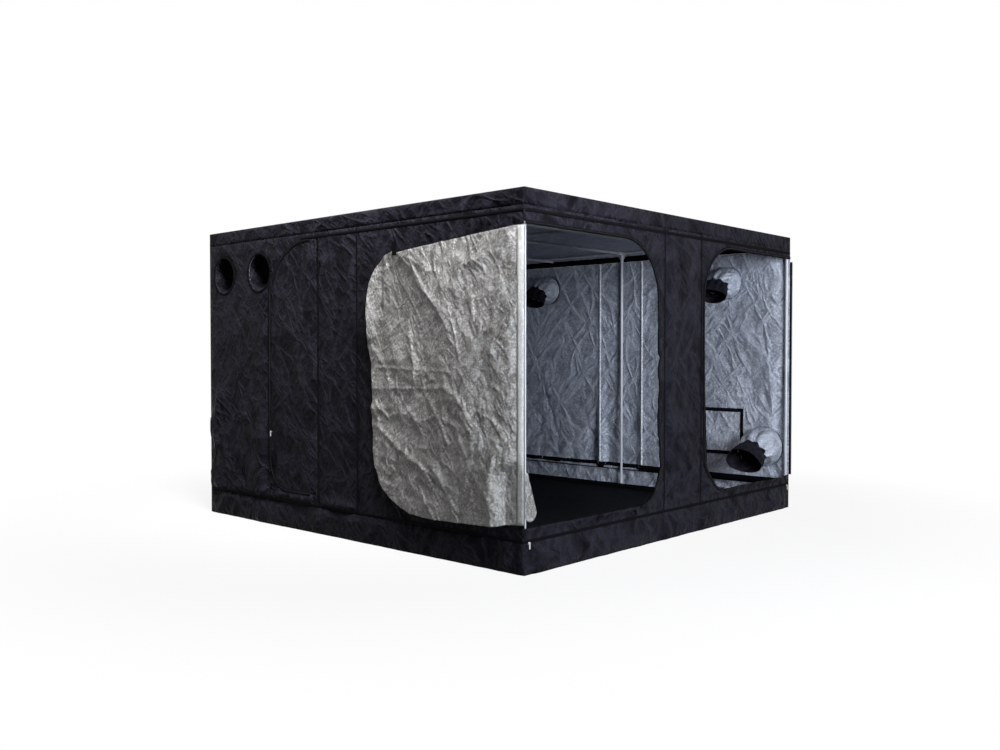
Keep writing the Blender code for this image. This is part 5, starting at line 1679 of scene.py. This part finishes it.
for sleeve in SLEEVES:
    label = sleeve[0]
    make_tube("sleeve_" + label, 0.004, CUFF_FROM + 0.02, SLEEVE_ROWS, sleeve, 0.0,
              (SILVER_IN, BLACK_CLOTH), "duct_sleeve_" + label)
    make_tube("cuff_" + label, CUFF_FROM, 1.0, SLEEVE_ROWS // 2, sleeve, 0.015, (BLACK_CLOTH,))
print("Sleeves:", len(SLEEVES))

# %% [markdown]
# The tie strap holds the folded door. It is webbing that hangs over the leaf's upper edge and
# lies on the leaf's own folds, which the leaf's class gives. Above the edge there is no leaf,
# so the strap keeps on from the last place that has one.

# %% The tie strap
STRAP_WIDTH, STRAP_CELL, STRAP_THICKNESS = 0.042, 0.006, 0.0016
STRAP_OFF = 0.004
LEAF_TOP_HERE = 1.70
strap_low, strap_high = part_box("door_tie_strap")
strap = flat_grid("tie_strap", STRAP_WIDTH, strap_high.z - strap_low.z, STRAP_CELL)
flat = read_points(strap)
write_map(strap, flat[:, [1, 0]] - (0, STRAP_WIDTH / 2))
strap_middle = (strap_low.y + strap_high.y) / 2
out = strap_middle + HINGE + flat[:, 0] - STRAP_WIDTH / 2
up = strap_low.z + flat[:, 1]
places = LEAVES["left"].places(out, np.minimum(up, LEAF_TOP_HERE))
places[:, 2] = up
write_points(strap, places - (STRAP_OFF, 0, 0))
strap.data.flip_normals()
thicken(strap, STRAP_THICKNESS, (WEBBING,))
enter(strap, "door_front_left", "door_tie_strap")
print("Strap is", round(strap_high.z - strap_low.z, 3), "m long")

# %% [markdown]
# A small flap hangs inside the near corner and keeps light out at the foot of the zip. Its
# outline is a half circle below and narrows upwards, cut from the flat grid like the doors.

# %% The light flap
FLAP_CELL = 0.005
flap_low, flap_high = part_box("corner_light_flap")
flap_width, flap_height = flap_high.x - flap_low.x, flap_high.z - flap_low.z
flap_radius = flap_width / 2
flap_outline = arc(flap_radius, flap_radius, flap_radius, 180, 360, 24)
flap_outline += [(0.036, flap_height - 0.03), (0.03, flap_height), (0, flap_height)]
light_flap = flat_grid("light_flap", flap_width, flap_height, FLAP_CELL)
cut(light_flap, flap_outline, FLAP_CELL, keep_inside=True)
across, up, _ = map_flat(light_flap).T
bow = 0.001 * np.sin(math.pi * across / flap_width) + 0.001 * facets(across, up, 0.05, 8)
write_points(light_flap, np.stack((flap_low.x + across, flap_low.y - bow, flap_low.z + up), axis=1))
thicken(light_flap, CLOTH_THICKNESS, (SILVER_OUT, BLACK_CLOTH))
enter(light_flap, "root", "corner_light_flap")
print("Light flap", round(flap_height, 3), "m high")

# %% [markdown]
# The vent lets air in through a net, and an inner flap of lining closes it. The flap hangs from
# its upper edge and bellies into the tent, and its four bindings are laid on the same belly.

# %% The vent's net
NET_INSET = 0.002
NET_OFF = -0.0010
net_size = (VENT_FAR - VENT_NEAR - 2 * NET_INSET, VENT_HIGH - VENT_LOW - 2 * NET_INSET)
screen = flat_grid("vent_net", *net_size, 0.02)
flat = map_flat(screen)
write_points(screen, RIGHT.lay(flat[:, 0] + VENT_NEAR + NET_INSET, flat[:, 1] + VENT_LOW + NET_INSET,
                               NET_OFF))
screen.data.materials.append(OPEN_NET)
enter(screen, "root", "vent_screen")
print("Net is", [round(side, 3) for side in net_size], "m")

# %% The vent's inner flap
COVER_GAP = 0.0015
TOP_BINDING, COVER_BINDING = 0.028, 0.026
cover_low, cover_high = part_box("vent_flap")
cover_width, cover_height = cover_high.y - cover_low.y, cover_high.z - cover_low.z


def cover_place(across, down, off):
    """Lay something on the vent's inner flap, which bellies into the tent."""
    share_x, share_y = across / cover_width, down / cover_height
    belly = 0.011 * np.sin(math.pi * np.clip(share_x, 0, 1)) * np.sin(math.pi * np.clip(share_y, 0, 1))
    belly += 0.005 * facets(across, down, 0.14, 51) * eased(10 * share_y * (1 - share_y))
    return np.stack((cover_high.x - COVER_GAP - belly - off, cover_low.y + across, cover_high.z - down),
                    axis=1)


vent_cover = flat_grid("vent_cover", cover_width, cover_height, 0.012)
flat = map_flat(vent_cover)
write_points(vent_cover, cover_place(flat[:, 0], flat[:, 1], 0.0))
thicken(vent_cover, CLOTH_THICKNESS, (SILVER_IN, BLACK_CLOTH))
enter(vent_cover, "vent_flap", "vent_flap")
COVER_EDGES = (
    ("top", 0, 0, cover_width, TOP_BINDING),
    ("foot", 0, cover_height - COVER_BINDING, cover_width, cover_height),
    ("near", 0, 0, COVER_BINDING, cover_height),
    ("far", cover_width - COVER_BINDING, 0, cover_width, cover_height),
)
for label, left, low, right, high in COVER_EDGES:
    edge = flat_grid(f"vent_cover_binding_{label}", right - left, high - low, 0.009)
    write_points(edge, read_points(edge) + (left, low, 0))
    flat = map_flat(edge)
    write_points(edge, cover_place(flat[:, 0], flat[:, 1], 0.0011))
    thicken(edge, 0.0026, (WEBBING,))
    enter(edge, "vent_flap")
print("Vent flap", round(cover_width, 3), "x", round(cover_height, 3), "m")

# %% [markdown]
# The loose mat lies on the tray and its rim stands up, so that spilt water stays in. It is folded
# from one square like the roof, with the spare corner squares cut off and the rims merged.

# %% The floor mat
MAT_THICKNESS = 0.0018
MAT_WAVE = 0.0012
mat_low, mat_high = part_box("floor_mat")
mat_half = mat_high.x
mat_lip = mat_high.z - mat_low.z
mat_cut = 2 * (mat_half + mat_lip)
mat_cells = 2 * round(mat_cut / 2 / (mat_lip / 2))
mat = flat_grid("floor_mat_cloth", mat_cut, mat_cut, mat_cut / mat_cells)
flat = read_points(mat) - (mat_cut / 2, mat_cut / 2, 0)
write_map(mat, flat)
x, y = flat[:, 0], flat[:, 1]
spare = np.min(np.abs(face_middles(mat)[:, :2] - mat_cut / 2), axis=1) > mat_half
past = np.maximum(np.maximum(np.abs(x), np.abs(y)) - mat_half, 0)
ripple = 0.0025 * facets(x + 4, y + 4, 0.4, 61) * eased((mat_half - np.abs(x)) / 0.1)
ripple = np.minimum(ripple * eased((mat_half - np.abs(y)) / 0.1), MAT_WAVE)
write_points(mat, np.stack((np.clip(x, -mat_half, mat_half), np.clip(y, -mat_half, mat_half),
                            mat_low.z + MAT_THICKNESS + ripple + past), axis=1))
delete_faces(mat, spare)
merge_points(mat, 0.0015)
thicken(mat, MAT_THICKNESS, (MAT_CLOTH,))
enter(mat, "root", "floor_mat")
print("Mat:", len(mat.data.polygons), "faces")
